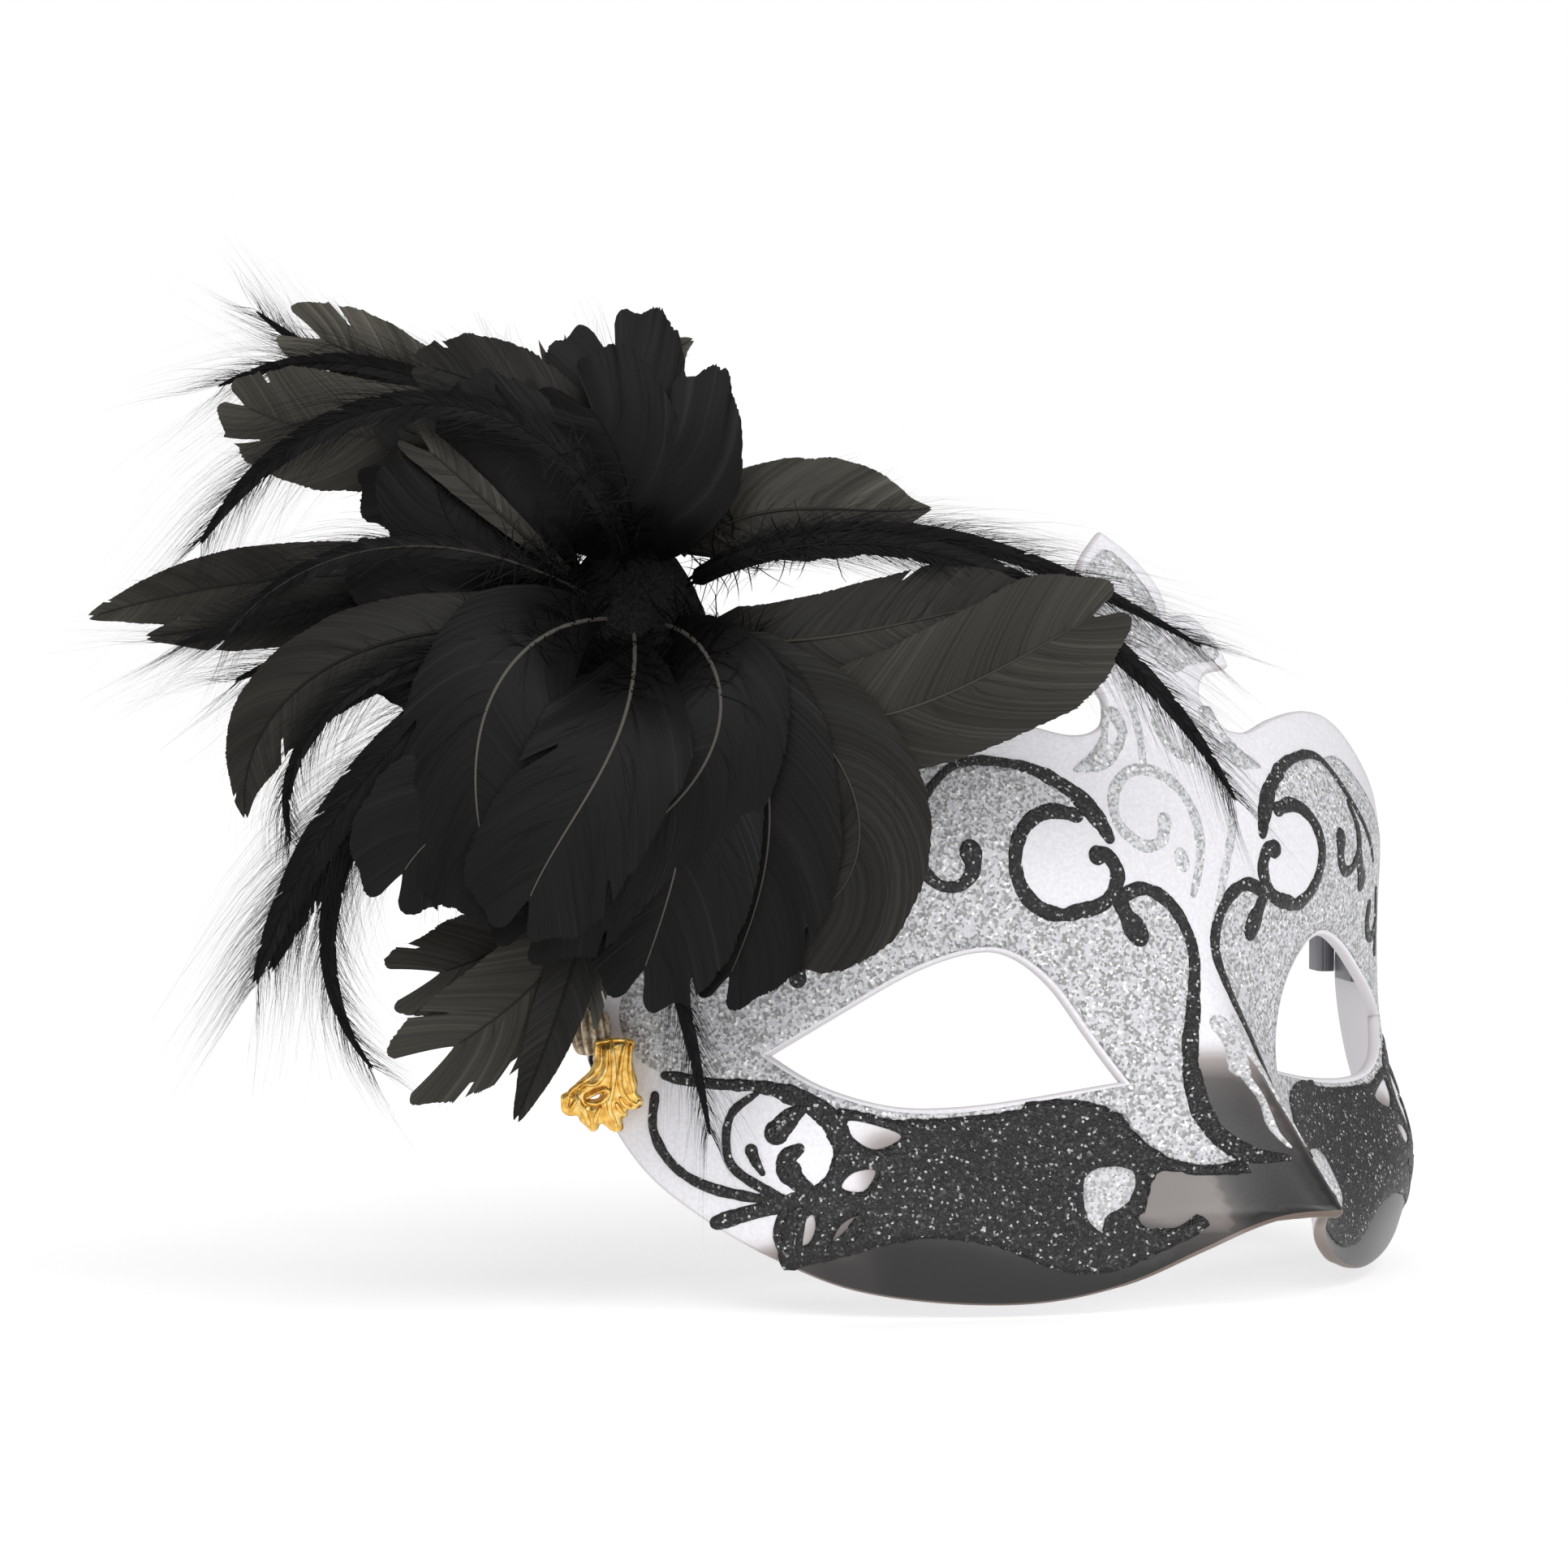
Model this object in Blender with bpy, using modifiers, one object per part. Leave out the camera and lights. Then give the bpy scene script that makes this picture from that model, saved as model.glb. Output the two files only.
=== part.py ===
"""Venetian masquerade mask with a side plume of black feathers.

Lengths in the tables are millimetres; MM turns them into metres when a mesh is made.
The mask faces -Y, +Z is up and x = 0 is the mask's mid-plane. s is the length round
the face from the mid-plane, z the height above eye level.
"""
import math

import bmesh
import bpy
from mathutils import Vector
from mathutils.geometry import delaunay_2d_cdt

MM = 0.001

# ---- moulded shell ----------------------------------------------------------
HALF_WIDTH = 84.0        # ellipse the face is wrapped on, across
HALF_DEPTH = 72.0        # the same ellipse, front to back
WRAP = 80.0              # length round the face for one radian of wrap
WALL = 1.8               # wall of the moulding
GRID = 4.2               # mesh spacing on the open parts of the face
NOSE_GRID = 2.8          # mesh spacing over the nose

# half outline (s, z): chin edge outward, temple, brow, then each part of the crest
CHIN_EDGE = [(0, -25), (5, -26), (12, -31), (20, -35.5), (30, -38), (42, -38), (55, -36),
             (65, -32), (76, -26), (86, -19), (93, -10), (97, 2), (94, 12), (85, 20),
             (72, 28), (60, 36), (48, 43), (37, 45), (26, 44), (17, 42), (11, 43.5),
             (9, 48), (12, 51.5), (18, 52.5)]
CREST_LOBE = [(18, 52.5), (17, 56), (13, 59.5), (7, 59)]
CREST_LEAF = [(7, 59), (8, 63), (5, 68), (0, 72)]
EYE_UPPER = [(15, -8), (19, -1), (24, 6), (30, 10.5), (36, 11.5), (45, 9), (56, 3.5), (68, -3)]
EYE_LOWER = [(68, -3), (60, -7.5), (50, -10.5), (40, -11), (28, -10), (15, -8)]

# ---- ties at the temples ----------------------------------------------------
TIE_Z = 5.5              # height of both ribbon ties
TIE_TALL = 6.0           # ribbon width
PATCH_AT = 86.0          # middle of the glued patch, round the face
PATCH_LONG = 11.0        # glued patch, along the face
PATCH_THICK = 0.9
LOOP_REACH = 8.0         # length of the folded loop behind its patch
LOOP_GAP = 1.5           # clear slot inside the loop
LOOP_THICK = 0.7

# ---- plume ------------------------------------------------------------------
HUB = (-79.5, 34.4, 59.0)     # middle of the plume on the pad's front face
PLUME_YAW = 40.0              # the plume faces this far round to the wearer's right
PAD_WIDE, PAD_TALL, PAD_THICK = 26.0, 54.0, 1.8
PAD_DROP = 15.0               # pad centre below the plume's middle
BLADE = 0.5                   # thickness of a feather along its quill line
EDGE = 0.22                   # thickness of a feather at its edges
STATIONS = 12                 # sections along one feather

# name, which way it points (degrees from the plume's right, anticlockwise) at its root,
# its middle and its tip, its length, its width, its kind and its layer
FEATHERS = [
    ("stub", 105, 106, 106, 22, 4, "stub", 0),
    ("wisp_high", 125, 150, 140, 58, 5, "hackle", 1),
    ("back_upper", 128, 140, 156, 48, 10, "goose", 2),
    ("wisp_left_high", 115, 157, 205, 65, 6, "hackle", 3),
    ("broad_upper", 112, 172, 150, 57, 13, "goose", 4),
    ("upright_leaf", 80, 88, 20, 30, 9, "goose", 3),
    ("top_right", 50, 2, 8, 37, 12, "goose", 4),
    ("crown_fill", 118, 124, 138, 26, 15, "goose", 6),
    ("left_tip", 165, 183, 196, 67, 10, "goose", 5),
    ("left_low", 172, 186, 188, 58, 8, "goose", 6),
    ("arch_back", 95, 140, 165, 40, 13, "goose", 7),
    ("left_hackle_a", 168, 188, 196, 55, 6, "hackle", 7),
    ("right_hackle_b", 34, -12, -30, 78, 5, "hackle", 7),
    ("left_hackle_b", 180, 190, 205, 47, 6, "hackle", 8),
    ("right_hackle_a", 30, -24, -62, 93, 7, "hackle", 8),
    ("low_leaf_b", -80, -126, -165, 54, 12, "goose", 8),
    ("crown_mid", 85, 105, 130, 22, 14, "goose", 9),
    ("left_fill", 165, 140, 100, 26, 12, "goose", 9),
    ("right_blade_up", -14, 10, 8, 47, 13, "goose", 9),
    ("low_hang", 205, 240, 312, 76, 6, "hackle", 9),
    ("brown_tip", -93, -96, -99, 46, 5, "goose", 9),
    ("low_leaf_a", -78, -118, -150, 62, 13, "goose", 10),
    ("sliver", 142, 138, 140, 28, 5, "goose", 10),
    ("right_blade", -50, 14, 28, 66, 18, "goose", 10),
    ("right_round", -28, -52, -150, 52, 18, "goose", 11),
    ("low_point", -92, -104, -113, 64, 8, "goose", 11),
    ("left_droop", 184, 202, 280, 60, 12, "goose", 11),
    ("long_arch", 95, 180, 240, 78, 8, "hackle", 12),
    ("left_thin", 190, 208, 290, 57, 5, "hackle", 12),
    ("left_arch", 150, 185, 235, 55, 6, "hackle", 12),
    ("cheek_hackle", -88, -78, -80, 66, 5, "hackle", 12),
    ("drape_e", -25, -85, -115, 53, 15, "goose", 12),
    ("low_hackle_b", 210, 225, 248, 64, 11, "hackle", 13),
    ("drape_f", -55, -95, -110, 46, 16, "goose", 14),
    ("drape_d", -10, -130, -125, 56, 15, "goose", 15),
    ("low_hackle", 195, 228, 252, 70, 11, "hackle", 16),
    ("drape_b", -85, -150, -118, 46, 15, "goose", 17),
    ("drape_c", 180, 255, 285, 46, 15, "goose", 18),
    ("drape_a", -75, -118, -112, 40, 15, "goose", 20),
]

# ---- gold leaf, beads and cord at the wearer's right temple ------------------
# places are across, up and out from the plume's middle, in the plume's own plane
LEAF_AT = (-4.0, -66.3, -3.2)     # middle of the gold leaf's back
BEAD_AT = (-5.8, -58.9, -5.7)     # middle of the ribbed bead
BEAD_R, BEAD_TALL, BEAD_HOLE = 2.9, 6.4, 0.6
CREAM_AT = (-9.8, -56.3, -4.4)    # middle of the small cream bead
CREAM_TILT = 25.0                 # its cord end points this far below level
CORD_R = 0.3

COLOURS = {
    "pearl": ((0.83, 0.82, 0.85), 0.35, 0.1),
    "black_feather": ((0.012, 0.012, 0.012), 0.55, 0.0),
    "felt": ((0.02, 0.02, 0.02), 0.9, 0.0),
    "ribbon": ((0.30, 0.29, 0.31), 0.5, 0.0),
    "gold": ((0.83, 0.53, 0.12), 0.3, 1.0),
    "old_gold": ((0.52, 0.40, 0.24), 0.45, 0.6),
    "cream": ((0.80, 0.72, 0.58), 0.4, 0.0),
    "cord": ((0.015, 0.013, 0.012), 0.6, 0.0),
    "brown_cloth": ((0.22, 0.14, 0.08), 0.8, 0.0),
}


def clear_scene():
    for thing in list(bpy.data.objects):
        bpy.data.objects.remove(thing, do_unlink=True)


def new_collection(name):
    group = bpy.data.collections.new(name)
    bpy.context.scene.collection.children.link(group)
    return group


def material(name):
    colour, rough, metal = COLOURS[name]
    made = bpy.data.materials.get(name) or bpy.data.materials.new(name)
    made.use_nodes = True
    shader = made.node_tree.nodes["Principled BSDF"]
    shader.inputs["Base Color"].default_value = (*colour, 1.0)
    shader.inputs["Roughness"].default_value = rough
    shader.inputs["Metallic"].default_value = metal
    return made


def add_node(group, name, mesh_data, slot):
    node = bpy.data.objects.new(name, mesh_data)
    group.objects.link(node)
    mesh_data.materials.append(material(slot))
    return node


def face_outward(work):
    bmesh.ops.recalc_face_normals(work, faces=work.faces)
    if work.calc_volume(signed=True) < 0:
        bmesh.ops.reverse_faces(work, faces=work.faces)


def mesh_from(name, points, faces):
    data = bpy.data.meshes.new(name)
    data.from_pydata([tuple(c * MM for c in p) for p in points], [], faces)
    work = bmesh.new()
    work.from_mesh(data)
    face_outward(work)
    work.to_mesh(data)
    work.free()
    return data


# ---- shell ------------------------------------------------------------------
def soft_step(value, width):
    """A ramp that is 0 below zero and follows the value above it."""
    return width * math.log1p(math.exp(-abs(value) / width)) + max(value, 0.0)


def dome(s, z, centre_s, centre_z, reach_s, reach_z):
    return math.exp(-((s - centre_s) / reach_s) ** 2 - ((z - centre_z) / reach_z) ** 2)


def shell_point(s, z):
    """Point of the mask's outer face, s round the face and z up."""
    turn = s / WRAP
    x = HALF_WIDTH * math.sin(turn)
    y = HALF_DEPTH * (1 - math.cos(turn))
    out_x = HALF_DEPTH * math.sin(turn)
    out_y = -HALF_WIDTH * math.cos(turn)
    size = math.hypot(out_x, out_y)
    side = abs(s)
    y += 0.49 * soft_step(z - 28, 8) * math.exp(-(side / 75) ** 4)
    swell = -4.5 * dome(side, z, 36, -1, 21, 17)
    swell += 5.5 * dome(side, z, 58, -24, 26, 14)
    swell += 3.0 * dome(side, z, 30, -34, 18, 10)
    swell += 1.5 * dome(side, z, 45, 26, 30, 9)
    x += swell * out_x / size
    y += swell * out_y / size
    nose = 0.88 * soft_step(6.5 - z, 4)
    if z < -26:
        nose = 0.88 * soft_step(32.5, 4) + 0.15 * (z + 26)
    reach = 6 + 0.20 * min(max(4 - z, 0), 40)
    y -= nose * math.exp(-(math.sqrt(x * x + 6.25) - 2.5) / reach)
    return (x, y, z)


def smooth_run(points, spacing):
    """Catmull-Rom run through the points, ends kept, at about the spacing given."""
    path = [points[0]] + list(points) + [points[-1]]
    dense = []
    for k in range(1, len(path) - 2):
        p0, p1, p2, p3 = [Vector(path[k + j]) for j in (-1, 0, 1, 2)]
        count = max(1, round((p2 - p1).length / spacing))
        for j in range(count):
            t = j / count
            near = (p2 - p0) * 0.5
            far = (p3 - p1) * 0.5
            point = p1 * (2 * t**3 - 3 * t**2 + 1) + near * (t**3 - 2 * t**2 + t)
            point += p2 * (3 * t**2 - 2 * t**3) + far * (t**3 - t**2)
            dense.append((point.x, point.y))
    return dense


def inside(point, loop):
    """Even-odd test of a point against a closed loop."""
    hit = False
    x, y = point
    for k, (x1, y1) in enumerate(loop):
        x2, y2 = loop[k - 1]
        if (y1 > y) != (y2 > y) and x < (x2 - x1) * (y - y1) / (y2 - y1) + x1:
            hit = not hit
    return hit


def gap_to(point, loop):
    best = 1e9
    for k, p in enumerate(loop):
        q = loop[k - 1]
        along = Vector((q[0] - p[0], q[1] - p[1]))
        rel = Vector((point[0] - p[0], point[1] - p[1]))
        t = min(max(rel.dot(along) / max(along.length_squared, 1e-9), 0), 1)
        best = min(best, (rel - along * t).length)
    return best


def half_pattern():
    """Flat triangle pattern of the mask's left half, with the eye cut out."""
    edge = smooth_run(CHIN_EDGE, 3.2)
    edge += smooth_run(CREST_LOBE, 2.6) + smooth_run(CREST_LEAF, 2.6)
    top, bottom = CREST_LEAF[-1][1], CHIN_EDGE[0][1]
    steps = round((top - bottom) / NOSE_GRID)
    edge += [(0.0, top + (bottom - top) * k / steps) for k in range(steps)]
    eye = smooth_run(EYE_UPPER, 3.0) + smooth_run(EYE_LOWER, 3.0)
    points = list(edge) + list(eye)
    for grid, low, high in ((NOSE_GRID, 0, 15), (GRID, 15, 99)):
        row_gap = grid * 0.866
        for row in range(int(120 / row_gap)):
            z = -42 + row * row_gap
            for column in range(int((high - low) / grid) + 1):
                shift = 0.75 if low == 0 else 0.3 + 0.5 * (row % 2)
                spot = (low + (column + shift) * grid, z)
                if spot[0] > high or not inside(spot, edge) or inside(spot, eye):
                    continue
                if min(gap_to(spot, edge), gap_to(spot, eye)) > 0.6 * grid:
                    points.append(spot)
    first = len(edge)
    lines = [(k, (k + 1) % first) for k in range(first)]
    lines += [(first + k, first + (k + 1) % len(eye)) for k in range(len(eye))]
    flat = delaunay_2d_cdt([Vector(p) for p in points], lines, [], 0, 1e-5)
    spots = [tuple(v) for v in flat[0]]
    faces = []
    for face in flat[2]:
        mid = [sum(spots[k][j] for k in face) / 3 for j in (0, 1)]
        if inside(mid, edge) and not inside(mid, eye):
            faces.append(face)
    return spots, faces


def build_shell(group):
    spots, faces = half_pattern()
    data = bpy.data.meshes.new("mask_shell")
    data.from_pydata([tuple(c * MM for c in shell_point(*p)) for p in spots], [], faces)
    work = bmesh.new()
    work.from_mesh(data)
    bmesh.ops.recalc_face_normals(work, faces=work.faces)
    work.faces.ensure_lookup_table()
    if sum(f.normal.y * f.calc_area() for f in work.faces) > 0:
        bmesh.ops.reverse_faces(work, faces=work.faces)
    loose = [v for v in work.verts if not v.link_faces]
    bmesh.ops.delete(work, geom=loose, context="VERTS")
    work.to_mesh(data)
    work.free()
    shell = add_node(group, "mask_shell", data, "pearl")
    mirror = shell.modifiers.new("both_halves", "MIRROR")
    mirror.use_clip = True
    mirror.merge_threshold = 1e-5
    wall = shell.modifiers.new("wall", "SOLIDIFY")
    wall.thickness = WALL * MM
    wall.offset = -1.0
    return shell


# ---- ribbon ties ------------------------------------------------------------
def temple_frame(side):
    """Middle of the patch on the inner face, with directions back and inward."""
    near = Vector(shell_point(side * (PATCH_AT - 4), TIE_Z))
    far = Vector(shell_point(side * (PATCH_AT + 4), TIE_Z))
    back = (far - near)
    back.z = 0
    back.normalize()
    inward = Vector((-side * back.y, side * back.x, 0)).normalized()
    return (near + far) / 2 + inward * (WALL + PATCH_THICK / 2 + 0.75), back, inward


def upright(name, origin, back, inward, loops, tall):
    """Upright solid: one or two plan outlines (a second is a slot) raised by tall."""
    points, faces = [], []
    up = Vector((0, 0, 1))
    count = len(loops[0])
    for lift in (-0.5, 0.5):
        for loop in loops:
            for u, w in loop:
                points.append(tuple(origin + back * u + inward * w + up * lift * tall))
    top = count * len(loops)
    for k in range(count):
        j = (k + 1) % count
        faces.append((k, j, top + j, top + k))
        if len(loops) == 2:
            faces.append((count + k, top + count + k, top + count + j, count + j))
            faces.append((k, count + k, count + j, j))
            faces.append((top + k, top + j, top + count + j, top + count + k))
    if len(loops) == 1:
        faces.append(tuple(range(count - 1, -1, -1)))
        faces.append(tuple(top + k for k in range(count)))
    return mesh_from(name, points, faces)


def patch_outline():
    """Plan of the glued patch, its corners eased."""
    long, thick, ease = PATCH_LONG / 2, PATCH_THICK / 2, 0.25
    corner = [(long, thick - ease), (long - ease, thick)]
    right = corner + [(-u, w) for u, w in reversed(corner)]
    return right + [(-u, -w) for u, w in right]


def loop_outline(half):
    """Plan of a ribbon loop: two half rounds joined by straights."""
    outline = []
    full = LOOP_GAP / 2 + LOOP_THICK
    for centre, turn in ((LOOP_REACH - full, -0.5), (full, 0.5)):
        for k in range(7):
            angle = math.pi * (k / 6 + turn)
            outline.append((centre + half * math.cos(angle), half * math.sin(angle)))
    return outline


def build_tie(group, side, word):
    centre, back, inward = temple_frame(side)
    name = "tie_patch_" + word
    data = upright(name, centre, back, inward, [patch_outline()], TIE_TALL + 2)
    add_node(group, name, data, "ribbon")
    root = centre + back * (PATCH_LONG / 2 + 0.4) + inward * 1.6
    loops = [loop_outline(LOOP_GAP / 2 + LOOP_THICK), loop_outline(LOOP_GAP / 2)]
    name = "tie_loop_" + word
    add_node(group, name, upright(name, root, back, inward, loops, TIE_TALL), "ribbon")


# ---- plume ------------------------------------------------------------------
def plume_axes():
    yaw = math.radians(PLUME_YAW)
    right = Vector((math.cos(yaw), -math.sin(yaw), 0))
    facing = Vector((-math.sin(yaw), -math.cos(yaw), 0))
    return right, Vector((0, 0, 1)), facing


def plume_point(a, b, depth):
    right, up, facing = plume_axes()
    return Vector(HUB) + right * a + up * b + facing * depth


def layer_lift(layer):
    return 2.0 + 1.35 * layer


def sweep(a, b):
    """How far the plume falls back from flat, away from its middle."""
    reach = max(math.hypot(a, b) - 8, 0)
    return (0.0028 + 0.0018 * math.tanh(b / 30)) * reach * reach


def heading_at(root, middle, tip, t):
    """Heading along a quill that turns evenly through its three headings."""
    early, whole = middle - root, tip - root
    return math.radians(root + (4 * early - whole) * t + (2 * whole - 4 * early) * t * t)


def feather_line(headings, length, layer):
    """Quill line in the plume's plane: places (a, b), headings and travel."""
    ring = 14 - 0.6 * layer
    a = ring * math.cos(math.radians(headings[0]))
    b = ring * math.sin(math.radians(headings[0]))
    fine = 8
    total = fine * (STATIONS - 1)
    line = []
    for k in range(total + 1):
        t = k / total
        heading = heading_at(*headings, t)
        if k % fine == 0:
            line.append((a, b, heading, t))
        a += math.cos(heading) * length / total
        b += math.sin(heading) * length / total
    return line


def vane_width(kind, t, width):
    """Bare quill first, then the vane swells and runs out to the tip."""
    if kind == "stub":
        return 1.0 + (width - 1.0) * t
    along = max(t - 0.1, 0) / 0.9
    power = 0.7 if kind == "hackle" else 0.95
    swell = max(math.sin(math.pi * min(along, 0.985) ** power), 0) ** 0.8
    return 0.9 + (width - 0.9) * swell


def vane_depth(a, b, layer, travel):
    """Height of a vane above the pad: it rises off its root, then falls back."""
    rise = layer_lift(layer) * (1 - math.exp(-travel / 5))
    return rise * (1 + 0.006 * math.hypot(a, b)) - sweep(a, b)


def build_feather(group, spec):
    name, *headings, length, width, kind, layer = spec
    points, faces = [], []
    for a, b, heading, t in feather_line(headings, length, layer):
        half = vane_width(kind, t, width) / 2
        thick = BLADE if t < 0.9 else BLADE * 0.7
        for across, face in ((-1, 0), (-0.5, 1), (0.5, 1), (1, 0), (0.5, -1), (-0.5, -1)):
            pa = a - math.sin(heading) * half * across
            pb = b + math.cos(heading) * half * across
            depth = vane_depth(pa, pb, layer, t * length)
            depth -= 0.05 * half * across * across
            depth += (thick if face else EDGE) / 2 * (face if face else 0.0)
            points.append(tuple(plume_point(pa, pb, depth + 0.6)))
    for row in range(STATIONS - 1):
        for k in range(6):
            j = (k + 1) % 6
            faces.append((row * 6 + k, row * 6 + j, row * 6 + 6 + j, row * 6 + 6 + k))
    faces.append(tuple(range(5, -1, -1)))
    last = (STATIONS - 1) * 6
    faces.append(tuple(last + k for k in range(6)))
    title = "feather_" + name
    add_node(group, title, mesh_from(title, points, faces), "black_feather")


def build_pad(group):
    points, faces = [], []
    count = 28
    for depth, shrink in ((-PAD_THICK, 0.96), (-PAD_THICK + 0.4, 1), (-0.4, 1), (0, 0.96)):
        for k in range(count):
            angle = 2 * math.pi * k / count
            a = PAD_WIDE / 2 * shrink * math.cos(angle)
            b = PAD_TALL / 2 * shrink * math.sin(angle) - PAD_DROP
            points.append(tuple(plume_point(a, b, depth)))
    for row in range(3):
        for k in range(count):
            j = (k + 1) % count
            base = row * count
            faces.append((base + k, base + j, base + count + j, base + count + k))
    faces.append(tuple(range(count - 1, -1, -1)))
    faces.append(tuple(3 * count + k for k in range(count)))
    add_node(group, "plume_pad", mesh_from("plume_pad", points, faces), "felt")


# ---- gold leaf, beads and cord ----------------------------------------------
def leaf_outline():
    """Acanthus outline, x across and z up from the leaf's middle, right half."""
    return [(0, 7.2), (1.3, 7.3), (1.9, 6.6), (1.5, 5.6), (1.8, 4.6), (3.2, 4.4),
            (4.2, 3.4), (3.7, 2.2), (4.6, 1.4), (5.6, 0.2), (5.2, -1.2), (4.2, -1.6),
            (5.3, -2.6), (5.7, -4.0), (4.8, -5.2), (3.5, -5.0), (3.2, -6.2), (2.2, -7.2),
            (0.9, -7.0), (0, -6.2)]


def build_leaf(group):
    half = leaf_outline()
    loop = half + [(-x, z) for x, z in reversed(half[1:-1])]
    points, faces = [], []
    count = len(loop)
    rows = ((0.0, 0.93, 0.0), (0.25, 1.0, 0.0), (0.8, 1.0, 0.0), (1.3, 0.86, 0.0),
            (1.7, 0.55, 0.0))
    for depth, shrink, _ in rows:
        for x, z in loop:
            bow = 0.9 * math.exp(-(x / 2.2) ** 2) - 0.035 * x * x
            lean = x + 0.14 * z
            place = (LEAF_AT[0] + lean * shrink, LEAF_AT[1] + z * shrink)
            out = LEAF_AT[2] + depth + bow * (shrink if depth else 1)
            points.append(tuple(plume_point(*place, out)))
    for row in range(len(rows) - 1):
        for k in range(count):
            j = (k + 1) % count
            base = row * count
            faces.append((base + k, base + j, base + count + j, base + count + k))
    back = len(points)
    points.append(tuple(plume_point(LEAF_AT[0], LEAF_AT[1], LEAF_AT[2] + 0.9)))
    points.append(tuple(plume_point(LEAF_AT[0], LEAF_AT[1], LEAF_AT[2] + 2.6)))
    top = (len(rows) - 1) * count
    for k in range(count):
        j = (k + 1) % count
        faces.append((back, j, k))
        faces.append((back + 1, top + k, top + j))
    add_node(group, "gold_leaf", mesh_from("gold_leaf", points, faces), "gold")


def lathe(name, at, axis, rings, count, ribs=0, rib_depth=0.0):
    """Ring-shaped solid about an axis; rings are (radius, travel, ribbed) round a section."""
    axis = Vector(axis).normalized()
    across = axis.orthogonal().normalized()
    third = axis.cross(across)
    points, faces = [], []
    for k in range(count):
        angle = 2 * math.pi * k / count
        spoke = across * math.cos(angle) + third * math.sin(angle)
        for radius, travel, ribbed in rings:
            grow = rib_depth * math.cos(ribs * angle) * ribbed
            points.append(tuple(Vector(at) + spoke * (radius + grow) + axis * travel))
    size = len(rings)
    for k in range(count):
        j = (k + 1) % count
        for r in range(size):
            q = (r + 1) % size
            faces.append((k * size + r, j * size + r, j * size + q, k * size + q))
    return mesh_from(name, points, faces)


def cream_axis():
    tilt = math.radians(CREAM_TILT)
    right, up, facing = plume_axes()
    return right * -math.cos(tilt) + up * -math.sin(tilt)


def build_beads(group):
    tall = BEAD_TALL / 2
    rings = [(BEAD_HOLE, -tall, 0), (1.3, -tall, 0)]
    for k in range(1, 8):
        lean = math.pi * (k / 8 - 0.5)
        rings.append((1.2 + (BEAD_R - 1.35) * math.cos(lean), tall * math.sin(lean), 1))
    rings += [(1.3, tall, 0), (BEAD_HOLE, tall, 0)]
    data = lathe("ribbed_bead", plume_point(*BEAD_AT), (0, 0, 1), rings, 36, 12, 0.15)
    add_node(group, "ribbed_bead", data, "old_gold")
    rings = [(0.6, -0.9, 0), (0.85, -0.9, 0), (0.95, -0.7, 0), (0.95, 0.7, 0),
             (0.85, 0.9, 0), (0.6, 0.9, 0)]
    data = lathe("cream_bead", plume_point(*CREAM_AT), cream_axis(), rings, 20)
    add_node(group, "cream_bead", data, "cream")


def cord_path():
    """Up through the ribbed bead, over its shoulder and out through the cream bead."""
    bead = plume_point(*BEAD_AT)
    cream = plume_point(*CREAM_AT)
    up = Vector((0, 0, 1))
    tip = cream_axis()
    start = plume_point(LEAF_AT[0] - 0.6, LEAF_AT[1] + 1.0, LEAF_AT[2] - 1.2)
    path = [start, bead - up * 4.2, bead - up * 3.2, bead, bead + up * 3.2]
    over = bead + up * 4.6 - (bead - cream) * 0.22
    over.z = bead.z + 4.7
    return path + [over, cream - tip * 1.6, cream, cream + tip * 1.4]


def build_cord(group):
    path = cord_path()
    curve = bpy.data.curves.new("bead_cord", "CURVE")
    curve.dimensions = "3D"
    run = curve.splines.new("POLY")
    dense = []
    ends = [path[0]] + path + [path[-1]]
    for k in range(1, len(ends) - 2):
        p0, p1, p2, p3 = ends[k - 1:k + 3]
        for j in range(3):
            t = j / 3
            near, far = (p2 - p0) * 0.4, (p3 - p1) * 0.4
            spot = p1 * (2 * t**3 - 3 * t**2 + 1) + near * (t**3 - 2 * t**2 + t)
            dense.append(spot + p2 * (3 * t**2 - 2 * t**3) + far * (t**3 - t**2))
    dense.append(path[-1])
    run.points.add(len(dense) - 1)
    for point, spot in zip(run.points, dense):
        point.co = (*(spot * MM), 1)
    curve.bevel_depth = CORD_R * MM
    curve.bevel_resolution = 1
    curve.use_fill_caps = True
    holder = bpy.data.objects.new("cord_curve", curve)
    group.objects.link(holder)
    made = bpy.data.meshes.new_from_object(holder)
    bpy.data.objects.remove(holder, do_unlink=True)
    work = bmesh.new()
    work.from_mesh(made)
    bmesh.ops.remove_doubles(work, verts=work.verts, dist=1e-6)
    face_outward(work)
    work.to_mesh(made)
    work.free()
    made.name = "bead_cord"
    made.materials.clear()
    add_node(group, "bead_cord", made, "cord")


def build():
    clear_scene()
    group = new_collection("venetian_mask")
    build_shell(group)
    for side, word in ((-1, "right"), (1, "left")):
        build_tie(group, side, word)
    build_pad(group)
    for spec in FEATHERS:
        build_feather(group, spec)
    build_leaf(group)
    build_beads(group)
    build_cord(group)


build()
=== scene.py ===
"""Looks of the venetian mask: painted shell with raised glitter, feathers, beads and gold leaf.

Tables are in millimetres: s is the length round the face from the mid-plane, z the height
above eye level, and the plume's own plane is across (a), up (b) and out (depth).
"""

import math

import bpy
import numpy as np
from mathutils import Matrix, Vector
from mathutils.geometry import delaunay_2d_cdt


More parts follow.
